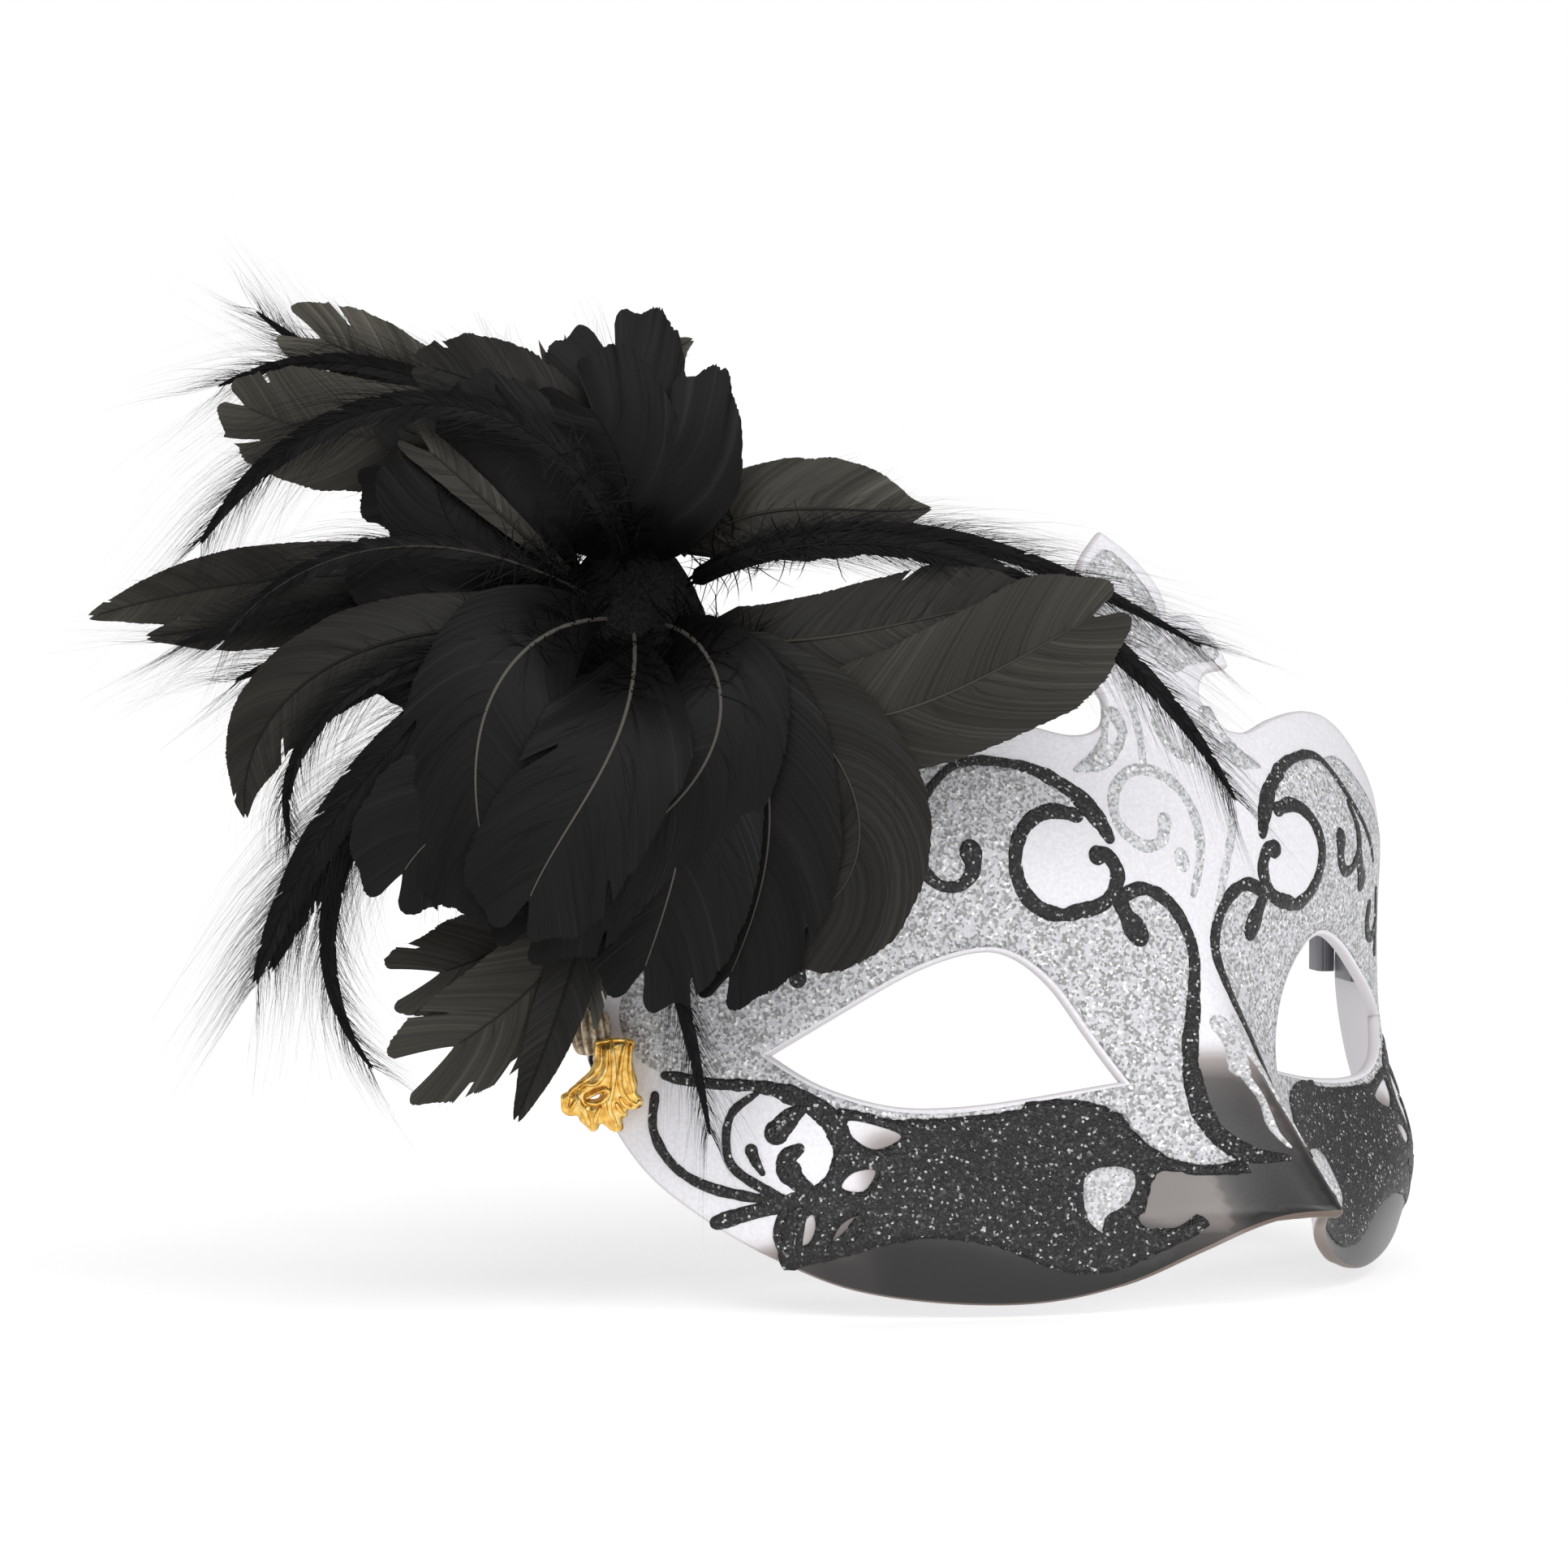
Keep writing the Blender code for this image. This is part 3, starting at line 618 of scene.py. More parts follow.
EYE_LINE = [(83, -6, 0.9), (75.5, -7, 0.9), (69, -7.3, 1.0), (64, -8.5, 1.4), (59.5, -11, 1.6),
            (57.2, -14.5, 1.6), (57.2, -18, 1.5), (59.5, -21.5, 1.3), (65, -23.5, 1.1)]
TEMPLE_CURLS = [
    [(43, 31, 0.8), (44.6, 27, 1.0), (45, 23, 1.4), (47.8, 19.3, 2.0)],
    [(44.5, 23.5, 1.1), (42, 21.2, 1.0), (39, 21, 1.1), (37, 23, 1.3), (37, 25.7, 1.8)],
    [(60, 17, 0.8), (62.5, 13, 1.2), (63, 8, 1.6)],
    [(61.5, 11, 1.1), (59, 9.8, 1.0), (56.5, 10.5, 1.1), (55.3, 12.5, 1.4), (55.3, 14.3, 1.7)],
]
CHEEK_LOOPS = [
    [(84.5, -9, 0.75), (84.5, -14, 0.75), (81, -18.8, 0.75), (75, -21.7, 0.8), (65.5, -23.3, 0.9)],
    [(69, -8.3, 0.5), (72.5, -11, 0.65), (73.3, -15, 0.7), (71.8, -19, 0.7), (65, -23, 0.8)],
    [(62.5, -10.5, 0.9), (64, -11.5, 1.4), (66, -13.6, 1.7)],
    [(61.5, -22, 1.0), (64, -19.5, 1.8), (64.6, -17.3, 1.6), (63, -16, 0.9)],
    [(69.6, -16.3, 1.1), (69, -17.7, 0.9), (68, -19.3, 0.5)],
    [(74.5, -26.5, 1.1), (70, -25, 1.1), (65.5, -23.8, 1.2)],
    [(65, -24.5, 0.7), (66, -28, 0.6), (64.8, -32, 0.6)],
    [(62.5, -25, 0.7), (63, -28.5, 0.6), (63, -31.5, 0.6)],
    [(54.5, -25, 0.8), (57, -28.5, 0.7), (61, -31.5, 0.6)],
]
SCROLLS = [BROW_BAND, BROW_RING, RING_HOOK, BROW_TEAR, NOSE_LINE, EYE_LINE]
SCROLLS += TEMPLE_CURLS + CHEEK_LOOPS

# the dark lace under the eye: its upper edge from the temple to the nose, then back below
LACE_TOP = [(57.5, -10.5), (50, -12), (41.5, -12.2), (32, -11.6), (28, -10.2), (22, -10.3),
            (17, -12), (15.5, -15), (12.8, -18.3), (9, -19.4)]
LACE = LACE_TOP + [
    (6, -18.6), (6, -20.2), (10, -20.8), (14, -20.2), (15.5, -22), (17, -25), (18.3, -26.8),
    (17.4, -28.2), (14, -27.8), (12.2, -26.2), (11, -27), (11.8, -28.6), (14.5, -30.5),
    (18, -32.4), (22, -34), (27, -34.2), (31, -32.8), (36, -30.3), (44, -28.7), (51, -29.3),
    (57, -31), (61, -32), (65, -33), (66, -29.5), (65, -24.8), (62, -23), (58.5, -21),
    (56.8, -17.5), (57.3, -13.5)]
LACE_HOLES = [
    [(56, -12.2), (52, -12.9), (48.5, -14.5), (52.3, -16.2), (55.4, -14.5)],
    [(57.2, -21.3), (55.6, -19.3), (52.5, -19), (54.3, -21.8)],
    [(63.7, -29.5), (63, -27), (61.2, -25), (60.8, -27), (61.8, -29.2)],
    [(58.6, -29.3), (57.4, -26.5), (54.9, -25.2), (55.4, -27.4), (57, -29.2)],
]
CHEEK_DROP = [(23, -20.6), (20, -19.6), (17.4, -20.2), (17.9, -23), (20, -25.3), (22, -26.2),
              (23.2, -28.4), (24.5, -26.4), (24.2, -23)]
PALE_LINES = [
    arc((25, -15.5), 3.6, 3.2, 200, 20, 0.28, 7),
    [(1.5, 0, 1.5), (1.2, -3, 1.2), (2, -6, 1.3)],
    [(2, -6, 0.6), (1.5, -10, 0.5), (2, -14, 0.5), (1.5, -16.5, 0.3)],
]
CREST_LINES = [
    [(4.7, 29.5, 1.5), (6, 26.7, 1.0), (9.5, 26.3, 1.0), (13, 29.5, 1.0), (12.5, 34, 1.0),
     (8.5, 37, 1.0), (3.5, 36.5, 1.0), (0, 33.5, 1.0), (-1.5, 29, 1.0), (-1, 24, 0.9),
     (1, 19, 0.6)],
    [(-9, 33, 0.6), (-8.7, 29, 0.9), (-6.5, 24, 0.9), (-4.5, 19, 0.8), (-2.8, 15, 0.5)],
    [(-3, 41, 0.6), (-3.5, 38.5, 0.8), (-6.8, 36.5, 0.8), (-9, 33, 0.6)],
    [(2.6, 24.3, 1.4), (2.4, 23.6, 1.4)],
    [(5, 51, 1.1), (5, 47, 1.0), (5.2, 43, 0.9), (6, 38, 0.7)],
    [(1.5, 46, 0.7), (1.2, 43, 1.0), (0, 40.5, 1.0), (-2.5, 38.5, 0.9)],
]
CREST_LEAF_PAINT = [(3, 68.5), (0, 69.5), (-3, 67), (-5.5, 63), (-6, 59), (-4, 56), (0, 55),
                    (4.5, 57), (7, 61), (6, 65.5)]
CREST_LEAF_HOLE = [(4, 64.5), (0.5, 65), (-2, 63.2), (-1, 61.2), (2.5, 61.5)]
LOBE_PAINT = [(2, 54.5), (8, 56.5), (15, 56.5), (16.3, 53.6), (9, 52.4), (4.5, 51.3)]
CRESCENT = [(18.5, 37.2), (14.7, 39.6), (12, 42.5), (10.5, 46), (8, 46), (7.5, 42.5),
            (10, 39.3), (13, 37.2)]
CRESCENT_HOLE = [(9.9, 44.3), (9, 42.6), (10.5, 40.7), (11.4, 41)]
EYE_RIM = 0.55           # bare margin round the eye opening


def silver_outline():
    """Glitter ground between the brow band, the brow ring, the nose line and the eye line."""
    ring = plan(arc(RING_AT, RING_R, RING_R, 100, -115, 0))
    brow = plan(BROW_BAND[2:5]) + ring + plan(NOSE_LINE[:-1])
    eye = LACE_TOP[::-1] + plan(EYE_LINE[4::-1])
    temple = [(89, -2), (90, 5), (83, 13), (74, 19), (64, 26), (54, 33), (45, 38)]
    return brow + eye + temple


def build_paintwork():
    eye = eye_loop()
    wider = eye + unit(eye - eye.mean(0)) * EYE_RIM
    paint_patch("silver_field", silver_outline(), [wider], 0.10, SILVER_FIELD)
    paint_patch("lace", LACE, LACE_HOLES, 0.22, BLACK_GLITTER, 1.1, ragged=0.09)
    paint_patch("cheek_drop", CHEEK_DROP, [], 0.32, SILVER_CREST, 1.0, ragged=0.06)
    paint_patch("crest_leaf", CREST_LEAF_PAINT, [CREST_LEAF_HOLE], 0.16, SILVER_CREST, 1.2,
                sides=(-1,), ragged=0.08)
    paint_patch("crest_lobe", LOBE_PAINT, [], 0.16, SILVER_CREST, 1.2, ragged=0.08)
    paint_patch("crescent", CRESCENT, [CRESCENT_HOLE], 0.16, SILVER_CREST, 1.2, ragged=0.08)
    strokes("scroll", SCROLLS, BLACK_GLITTER)
    strokes("pale_line", PALE_LINES, SILVER_CREST, lift=0.36)
    strokes("crest_line", CREST_LINES, SILVER_CREST, sides=(-1,), lift=0.2)


# ---- feathers
HUB = np.array([-79.5, 34.4, 59.0])
PAD_WIDE, PAD_TALL, PAD_DROP = 26.0, 54.0, 15.0
YAW = math.radians(40.0)
PLUME_RIGHT = np.array([math.cos(YAW), -math.sin(YAW), 0.0])
PLUME_UP = np.array([0.0, 0.0, 1.0])
PLUME_OUT = np.array([-math.sin(YAW), -math.cos(YAW), 0.0])
# name, headings in degrees at its root, its middle and its tip, length, width, kind, layer
FEATHERS = [
    ("stub", 105, 106, 106, 22, 4, "stub", 0),
    ("wisp_high", 125, 150, 140, 58, 5, "hackle", 1),
    ("back_upper", 128, 140, 156, 48, 10, "goose", 2),
    ("wisp_left_high", 115, 157, 205, 65, 6, "hackle", 3),
    ("broad_upper", 112, 172, 150, 57, 13, "goose", 4),
    ("upright_leaf", 80, 88, 20, 30, 9, "goose", 3),
    ("top_right", 50, 2, 8, 37, 12, "goose", 4),
    ("crown_fill", 118, 124, 138, 26, 15, "goose", 6),
    ("left_tip", 165, 183, 196, 67, 10, "goose", 5),
    ("left_low", 172, 186, 188, 58, 8, "goose", 6),
    ("arch_back", 95, 140, 165, 40, 13, "goose", 7),
    ("left_hackle_a", 168, 188, 196, 55, 6, "hackle", 7),
    ("right_hackle_b", 34, -12, -30, 78, 5, "hackle", 7),
    ("left_hackle_b", 180, 190, 205, 47, 6, "hackle", 8),
    ("right_hackle_a", 30, -24, -62, 93, 7, "hackle", 8),
    ("low_leaf_b", -80, -126, -165, 54, 12, "goose", 8),
    ("crown_mid", 85, 105, 130, 22, 14, "goose", 9),
    ("left_fill", 165, 140, 100, 26, 12, "goose", 9),
    ("right_blade_up", -14, 10, 8, 47, 13, "goose", 9),
    ("low_hang", 205, 240, 312, 76, 6, "hackle", 9),
    ("brown_tip", -93, -96, -99, 46, 5, "goose", 9),
    ("low_leaf_a", -78, -118, -150, 62, 13, "goose", 10),
    ("sliver", 142, 138, 140, 28, 5, "goose", 10),
    ("right_blade", -50, 14, 28, 66, 18, "goose", 10),
    ("right_round", -28, -52, -150, 52, 18, "goose", 11),
    ("low_point", -92, -104, -113, 64, 8, "goose", 11),
    ("left_droop", 184, 202, 280, 60, 12, "goose", 11),
    ("long_arch", 95, 180, 240, 78, 8, "hackle", 12),
    ("left_thin", 190, 208, 290, 57, 5, "hackle", 12),
    ("left_arch", 150, 185, 235, 55, 6, "hackle", 12),
    ("cheek_hackle", -88, -78, -80, 66, 5, "hackle", 12),
    ("drape_e", -25, -85, -115, 53, 15, "goose", 12),
    ("low_hackle_b", 210, 225, 248, 64, 11, "hackle", 13),
    ("drape_f", -55, -95, -110, 46, 16, "goose", 14),
    ("drape_d", -10, -130, -125, 56, 15, "goose", 15),
    ("low_hackle", 195, 228, 252, 70, 11, "hackle", 16),
    ("drape_b", -85, -150, -118, 46, 15, "goose", 17),
    ("drape_c", 180, 255, 285, 46, 15, "goose", 18),
    ("drape_a", -75, -118, -112, 40, 15, "goose", 20),
]
# how far each vane leans from black to olive-brown: partly its own brown colour, partly a painted
# satin sheen
VANE_BROWN_AND_SHEEN = {
    "stub": 0.8, "back_upper": 0.95, "broad_upper": 0.8, "upright_leaf": 1.0, "top_right": 0.8,
    "crown_fill": 0.05, "left_tip": 0.5, "left_low": 0.45, "arch_back": 0.25, "low_leaf_b": 0.5,
    "right_blade_up": 0.4, "low_leaf_a": 0.5, "sliver": 0.6, "right_blade": 0.45,
    "right_round": 0.2, "low_point": 0.15, "left_droop": 0.3, "brown_tip": 1.0,
}


def plume_spots(a, b, depth):
    a, b, depth = (np.asarray(v, float)[..., None] for v in (a, b, depth))
    return HUB + PLUME_RIGHT * a + PLUME_UP * b + PLUME_OUT * depth


def sweep(a, b):
    reach = np.maximum(np.hypot(a, b) - 8, 0)
    return (0.0028 + 0.0018 * np.tanh(b / 30)) * reach * reach


def vane_depth(a, b, layer, travel):
    rise = (2.0 + 1.35 * layer) * (1 - np.exp(-travel / 5))
    return rise * (1 + 0.006 * np.hypot(a, b)) - sweep(a, b)


class Spine:
    """Quill line of a feather in the plume's plane, as a function of t from 0 to 1."""

    def __init__(self, root, middle, tip, length, layer):
        self.length, self.layer = length, layer
        self.t = np.linspace(0, 1, 161)
        early, whole = middle - root, tip - root
        turned = (4 * early - whole) * self.t + (2 * whole - 4 * early) * self.t ** 2
        self.turn = np.radians(root + turned)
        step = length / 160
        ring = 14 - 0.6 * layer
        a = np.cumsum(np.cos(self.turn)) * step - math.cos(self.turn[0]) * step
        b = np.cumsum(np.sin(self.turn)) * step - math.sin(self.turn[0]) * step
        self.a = ring * math.cos(math.radians(root)) + a
        self.b = ring * math.sin(math.radians(root)) + b

    def spots(self, t, across, out):
        """World places at travel t, across the vane, out from its mid-surface."""
        over = (np.maximum(t - 1, 0) + np.minimum(t, 0)) * self.length
        near = np.clip(t, 0, 1)
        turn = np.interp(near, self.t, self.turn)
        a = np.interp(near, self.t, self.a) - np.sin(turn) * across + np.cos(turn) * over
        b = np.interp(near, self.t, self.b) + np.cos(turn) * across + np.sin(turn) * over
        depth = vane_depth(a, b, self.layer, near * self.length) + 0.6 + out
        return plume_spots(a, b, depth)


# how each goose vane looks: width, root fullness, widest place, tip power, splits a side, roll
VANES = {
    "stub": (4.6, 0.9, 0.8, 0.1, 0, 0.0), "back_upper": (13, 0.5, 0.62, 0.45, 1, 0.2),
    "broad_upper": (16.5, 0.45, 0.6, 0.8, 1, -0.2), "upright_leaf": (9.5, 0.4, 0.35, 1.1, 0, 0.3),
    "top_right": (14.5, 0.8, 0.3, 1.25, 0, -0.2), "crown_fill": (19, 0.8, 0.5, 0.6, 0, 0.1),
    "left_tip": (10, 0.5, 0.55, 1.0, 1, 0.2), "left_low": (8.5, 0.5, 0.55, 1.0, 1, -0.2),
    "arch_back": (14, 0.8, 0.5, 0.8, 1, 0.2), "low_leaf_b": (13, 0.7, 0.75, 0.45, 2, 0.1),
    "crown_mid": (20, 0.85, 0.5, 0.6, 0, -0.1), "left_fill": (17, 0.8, 0.5, 0.5, 0, 0.1),
    "right_blade_up": (14, 0.7, 0.55, 0.8, 1, -0.2), "low_leaf_a": (15, 0.7, 0.75, 0.45, 2, -0.2),
    "sliver": (5, 0.15, 0.9, 0.5, 0, 0.3), "right_blade": (19.5, 0.5, 0.62, 0.75, 0, 0.18),
    "right_round": (20, 0.7, 0.55, 0.5, 0, 0.12), "low_point": (7.5, 0.7, 0.6, 0.9, 0, 0.1),
    "left_droop": (12.5, 0.7, 0.45, 1.1, 1, 0.2), "drape_e": (20, 0.9, 0.4, 0.7, 1, 0.1),
    "drape_d": (21, 0.9, 0.5, 0.7, 1, -0.1), "drape_f": (22, 0.9, 0.45, 0.7, 1, 0.1),
    "drape_b": (22, 0.95, 0.45, 0.7, 1, -0.1), "drape_c": (22, 0.95, 0.45, 0.7, 1, 0.1),
    "drape_a": (21, 1.0, 0.45, 0.7, 1, 0.0), "brown_tip": (5, 0.8, 0.75, 0.4, 1, 0.0),
}
PALE_QUILLS = {"drape_a": 0.75, "drape_b": 0.7, "drape_c": 0.75, "drape_d": 0.7,
               "drape_e": 0.6, "drape_f": 0.7, "right_blade": 0.55, "right_round": 0.5,
               "right_blade_up": 0.5, "left_arch": 0.4, "brown_tip": 0.9}
# extra vanes glued in with one quill: turned by degrees, and as a share of its length
TUFTS = {"crown_fill": ((-30, 1.0), (22, 1.05)), "crown_mid": ((28, 1.0), (-22, 0.85)),
         "left_fill": ((22, 0.95), (-22, 1.0), (42, 0.85)), "arch_back": ((14, 0.8),)}


def vane_shape(t, look):
    """Half width of a vane from its root to its tip, as a share of its full width."""
    _, root, peak, tip, _, _ = look
    t = np.clip(t, 0, 1)
    rise = root + (1 - root) * np.sin(0.5 * math.pi * np.minimum(t / peak, 1))
    fall = np.cos(0.5 * math.pi * np.clip((t - peak) / (1 - peak), 0, 0.995)) ** tip
    return 0.5 * np.where(t < peak, rise, fall)


def coin(rng, count):
    """Side of the quill for each barb, -1 or 1 at random."""
    return np.where(rng.random(count) < 0.5, -1.0, 1.0)


def slow_noise(rng, count, knots):
    """Smooth random run between -1 and 1."""
    marks = rng.uniform(-1, 1, knots + 3)
    place = np.linspace(0, knots, count)
    k = np.floor(place).astype(int)
    f = place - k
    f = f * f * (3 - 2 * f)
    return marks[k] * (1 - f) + marks[k + 1] * f


def vane_sheet(spine, look, rng, side, gap=0.3, ripple=0.035):
    """One side of a vane: a row for each barb, zipped to the next except where it parts."""
    width, _, _, _, splits, roll = look
    count = int(spine.length * 0.985 / gap)
    t = np.linspace(0.01, 0.985, count)
    half = width * vane_shape(t, look) * (1 + 0.03 * slow_noise(rng, count, 14))
    slant = 0.85 + 0.35 * t + 2.0 * np.clip((t - 0.85) / 0.15, 0, 1) ** 2
    parts = sorted(rng.choice(np.arange(int(count * 0.2), int(count * 0.93)), splits * 2,
                              replace=False)) if splits else []
    depth = {}
    for j, row in enumerate(parts):
        if j % 2:
            depth[int(row)] = rng.uniform(0.2, 0.45)
    lean, edges = np.zeros(count), [0] + sorted(depth) + [count]
    for a, b in zip(edges, edges[1:]):
        lean[a:b] += rng.normal(0, 0.07) + np.linspace(0.05, -0.05, b - a)
    lanes = np.array([0, 0.08, 0.25, 0.45, 0.65, 0.82, 0.94, 1.0])
    n = len(lanes)
    reach = half[:, None] * (1 + rng.normal(0, 0.008, count))[:, None]
    across = reach * lanes
    along = (slant + lean)[:, None] * reach * lanes ** 1.15 + 0.3 * reach * lanes ** 2.4
    index = np.arange(count)
    for row, deep in depth.items():
        past = np.maximum(lanes - (1 - deep), 0) / deep
        fan = np.where(index > row, np.exp(-(index - row) / 9.0), 0)
        back = np.where(index <= row, -0.6 * np.exp((index - row) / 9.0), 0)
        along = along + (fan + back)[:, None] * 0.16 * reach * past
    height = np.where(np.arange(count) % 2, ripple, -ripple) + rng.normal(0, 0.012, count)
    clump = slow_noise(rng, count, 10) * 0.35
    cup = -1.1 * (half[:, None] / 8) * lanes ** 2 + roll * side * across
    out = height[:, None] * (lanes > 0.05) + clump[:, None] * lanes + cup
    spots = spine.spots(t[:, None] + along / spine.length, across * side, out)
    rows = []
    for i in range(count - 1):
        open_from = 1 - depth.get(i, 0)
        for k in range(n - 1):
            if depth.get(i) and lanes[k] >= open_from:
                continue
            a = i * n + k
            face = (a, a + 1, a + n + 1, a + n)
            rows.append(face if side < 0 else face[::-1])
    shade = 0.36 + 0.17 * slow_noise(rng, count, 9) + rng.normal(0, 0.11, count)
    tone = shade[:, None] + 0.12 * (lanes - 0.5)
    # painted satin sheen, lighter towards the tip, carried in this field together with the vane's
    # own brown
    warm = (0.55 + 0.45 * t)[:, None] * (1 + 0.25 * slow_noise(rng, count, 5))[:, None] + 0 * across
    return spots.reshape(-1, 3), rows, np.clip(tone, 0, 1).ravel(), warm.ravel()


def hairs(spine, starts, sides, reach, slant, hook, wide, rng, rise=0.3, wave=0.35, steps=9):
    """Loose barbs as thin ribbons; every argument but the spine is one value a barb."""
    k = np.linspace(0, 1, steps + 1)
    across = reach[:, None] * k
    along = slant[:, None] * reach[:, None] * k ** 1.1 + hook[:, None] * reach[:, None] * k ** 2.2
    t = starts[:, None] + along / spine.length
    out = rng.normal(0, rise, len(starts))[:, None] * k * 2
    out = out + rng.normal(0, wave, len(starts))[:, None] * np.sin(k * 4 + starts[:, None] * 50)
    bend = rng.normal(0, 0.09, len(starts))[:, None] * np.sin(k * 6) * reach[:, None]
    body = wide * 0.5 * np.where(k < 0.5, 1.0, 1.0 - (k - 0.5) * 1.7)
    one = spine.spots(t - body / spine.length, (across + bend) * sides[:, None], out)
    two = spine.spots(t + body / spine.length, (across + bend) * sides[:, None], out)
    spots = np.stack([one, two], 2).reshape(-1, 3)
    rows = []
    for i in range(len(starts)):
        for j in range(steps):
            a = (i * (steps + 1) + j) * 2
            rows.append((a, a + 1, a + 3, a + 2))
    tone = np.repeat(np.clip(rng.normal(0.3, 0.16, len(starts)), 0, 1), 2 * (steps + 1))
    return spots, rows, tone


def hackle_hairs(spine, width, rng):
    """The fringe of a hackle: close short barbs with longer loose ones among them."""
    sets = []
    core = int(spine.length / 0.24)
    for count, low, high, slope, wide in ((core, 0.25, 0.5, 2.2, 0.2),
                                          (core, 0.45, 0.9, 2.6, 0.13),
                                          (core // 3, 0.8, 1.35, 3.0, 0.09)):
        starts = np.sort(rng.uniform(0.05, 0.98, count))
        sides = coin(rng, count)
        swell = 0.35 + 0.65 * np.sin(math.pi * np.clip(starts, 0.02, 0.93) ** 0.8)
        reach = width * 0.62 * rng.uniform(low, high, count) * swell + 0.5
        slant = slope + rng.normal(0, 0.18, count) + 1.4 * np.clip(starts - 0.8, 0, 1) * 5 * 0.4
        hook = rng.normal(1.2, 0.4, count)
        sets.append(hairs(spine, starts, sides, reach, slant, hook, wide, rng))
    return sets


def down_hairs(spine, rng, count, reach_mid):
    """Fluff round the root, lying every way, that hides the quills' ends."""
    starts = rng.uniform(0.02, 0.24, count)
    sides = coin(rng, count)
    reach = rng.uniform(0.4, 1.25, count) * reach_mid
    slant = rng.normal(-0.1, 0.9, count)
    hook = rng.normal(0.1, 0.7, count)
    return hairs(spine, starts, sides, reach, slant, hook, 0.2, rng, 0.8, 0.6, 7)


def quill(spine, radius, last=0.97):
    t = np.linspace(0, last, 60)
    thick = radius * (1 - 0.85 * t / last) + 0.04
    points, sides = [], 6
    for k in range(sides):
        angle = 2 * math.pi * k / sides
        points.append(spine.spots(t, thick * math.cos(angle), 0.08 + thick * math.sin(angle)))
    return np.stack(points, 1).reshape(-1, 3), ring_faces(len(t), sides)


def build_feather(spec, number):
    name, *headings, length, width, kind, layer = spec
    # share of the vane's own brown together with its painted satin sheen
    warmth = VANE_BROWN_AND_SHEEN.get(name, 0.0)
    rng = np.random.default_rng(40 + number)
    spine = Spine(*headings, length, layer)
    made = Parts()
    pale = PALE_QUILLS.get(name, 0.0)
    if kind == "hackle":
        for spots, rows, tone in hackle_hairs(spine, width * 1.1 + 4, rng):
            made.join(spots, rows, tone=tone, warm=warmth)
        look = (width * 0.5, 0.6, 0.5, 0.8, 6, 0.15)
    else:
        look = VANES[name]
    spines = [spine]
    for turn, share in TUFTS.get(name, ()):
        spines.append(Spine(*[h + turn for h in headings], length * share, layer - 0.4))
    for one in spines:
        for side in (-1, 1):
            spots, rows, tone, warm = vane_sheet(one, look, rng, side)
            made.join(spots, rows, tone=tone, warm=warm * warmth)
    if kind == "goose":
        starts = rng.uniform(0.3, 0.97, 36)
        sides = coin(rng, 36)
        reach = look[0] * vane_shape(starts, look) * rng.uniform(1.0, 1.14, 36)
        spots, rows, tone = hairs(spine, starts, sides, reach, 1.0 + 0.4 * starts,
                                  rng.normal(0.45, 0.2, 36), 0.14, rng, 0.2, 0.15)
        made.join(spots, rows, tone=tone, warm=warmth * 0.7)
    if layer >= 4:
        fluff = 90 if layer >= 12 else 50
        spots, rows, tone = down_hairs(spine, rng, fluff, 6.5 if layer >= 12 else 4.5)
        made.join(spots, rows, tone=tone * 0.6, warm=0.0)
    made.join(*quill(spine, 0.3 if kind != "hackle" else 0.22), tone=0.2 + pale * 0.6,
              warm=max(warmth * 0.6, pale))
    whole = made.mesh("plumage_" + name, FEATHER)
    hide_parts("feather_" + name)


def build_pad():
    rings = ((-1.8, 0.94), (-1.7, 0.985), (-1.4, 1), (-0.4, 1), (-0.1, 0.985), (0, 0.94),
             (0.05, 0.5))
    count, points = 48, []
    angle = np.linspace(0, 2 * math.pi, count, endpoint=False)
    for depth, shrink in rings:
        fuzz = 1 + 0.008 * np.sin(angle * 17 + depth * 9)
        points.append(plume_spots(PAD_WIDE / 2 * shrink * fuzz * np.cos(angle),
                                  PAD_TALL / 2 * shrink * fuzz * np.sin(angle) - PAD_DROP,
                                  np.full(count, depth)))
    made = new_mesh("felt_backing", np.vstack(points), capped_faces(len(rings), count), FELT)
    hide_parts("plume_pad")


# ---- gold leaf, beads and cord
LEAF_AT = (-4.0, -66.3, -3.2)
BEAD_AT = (-5.8, -58.9, -5.7)
CREAM_AT = (-9.8, -56.3, -4.4)
BEAD_R, BEAD_TALL, BEAD_HOLE = 2.9, 6.4, 0.6
CREAM_TILT, CORD_R = 25.0, 0.3
LEAF_EDGE = [
    (-1.1, 6.3), (0.6, 6.7), (2.6, 6.8), (4.5, 6.4), (4.2, 4.6), (4.3, 2.8), (4.9, 0.6),
    (4.8, -0.9), (5.6, -1.7), (5.7, -2.6), (4.9, -3.3), (3.5, -3.5), (3.5, -4.3),
    (2.8, -4.7), (2.9, -6.1), (2.1, -6.6), (1.2, -6.4), (-0.2, -5.4), (-0.9, -6.4),
    (-1.7, -6.5), (-2.4, -5.8), (-3.3, -5.0), (-3.6, -4.3), (-4.8, -4.3), (-5.8, -3.7),
    (-6.0, -2.3), (-5.9, -1.3), (-4.6, -0.6), (-3.9, 0.3), (-2.9, 1.2), (-1.8, 2.3),
    (-1.2, 4.0), (-1.3, 5.3)]
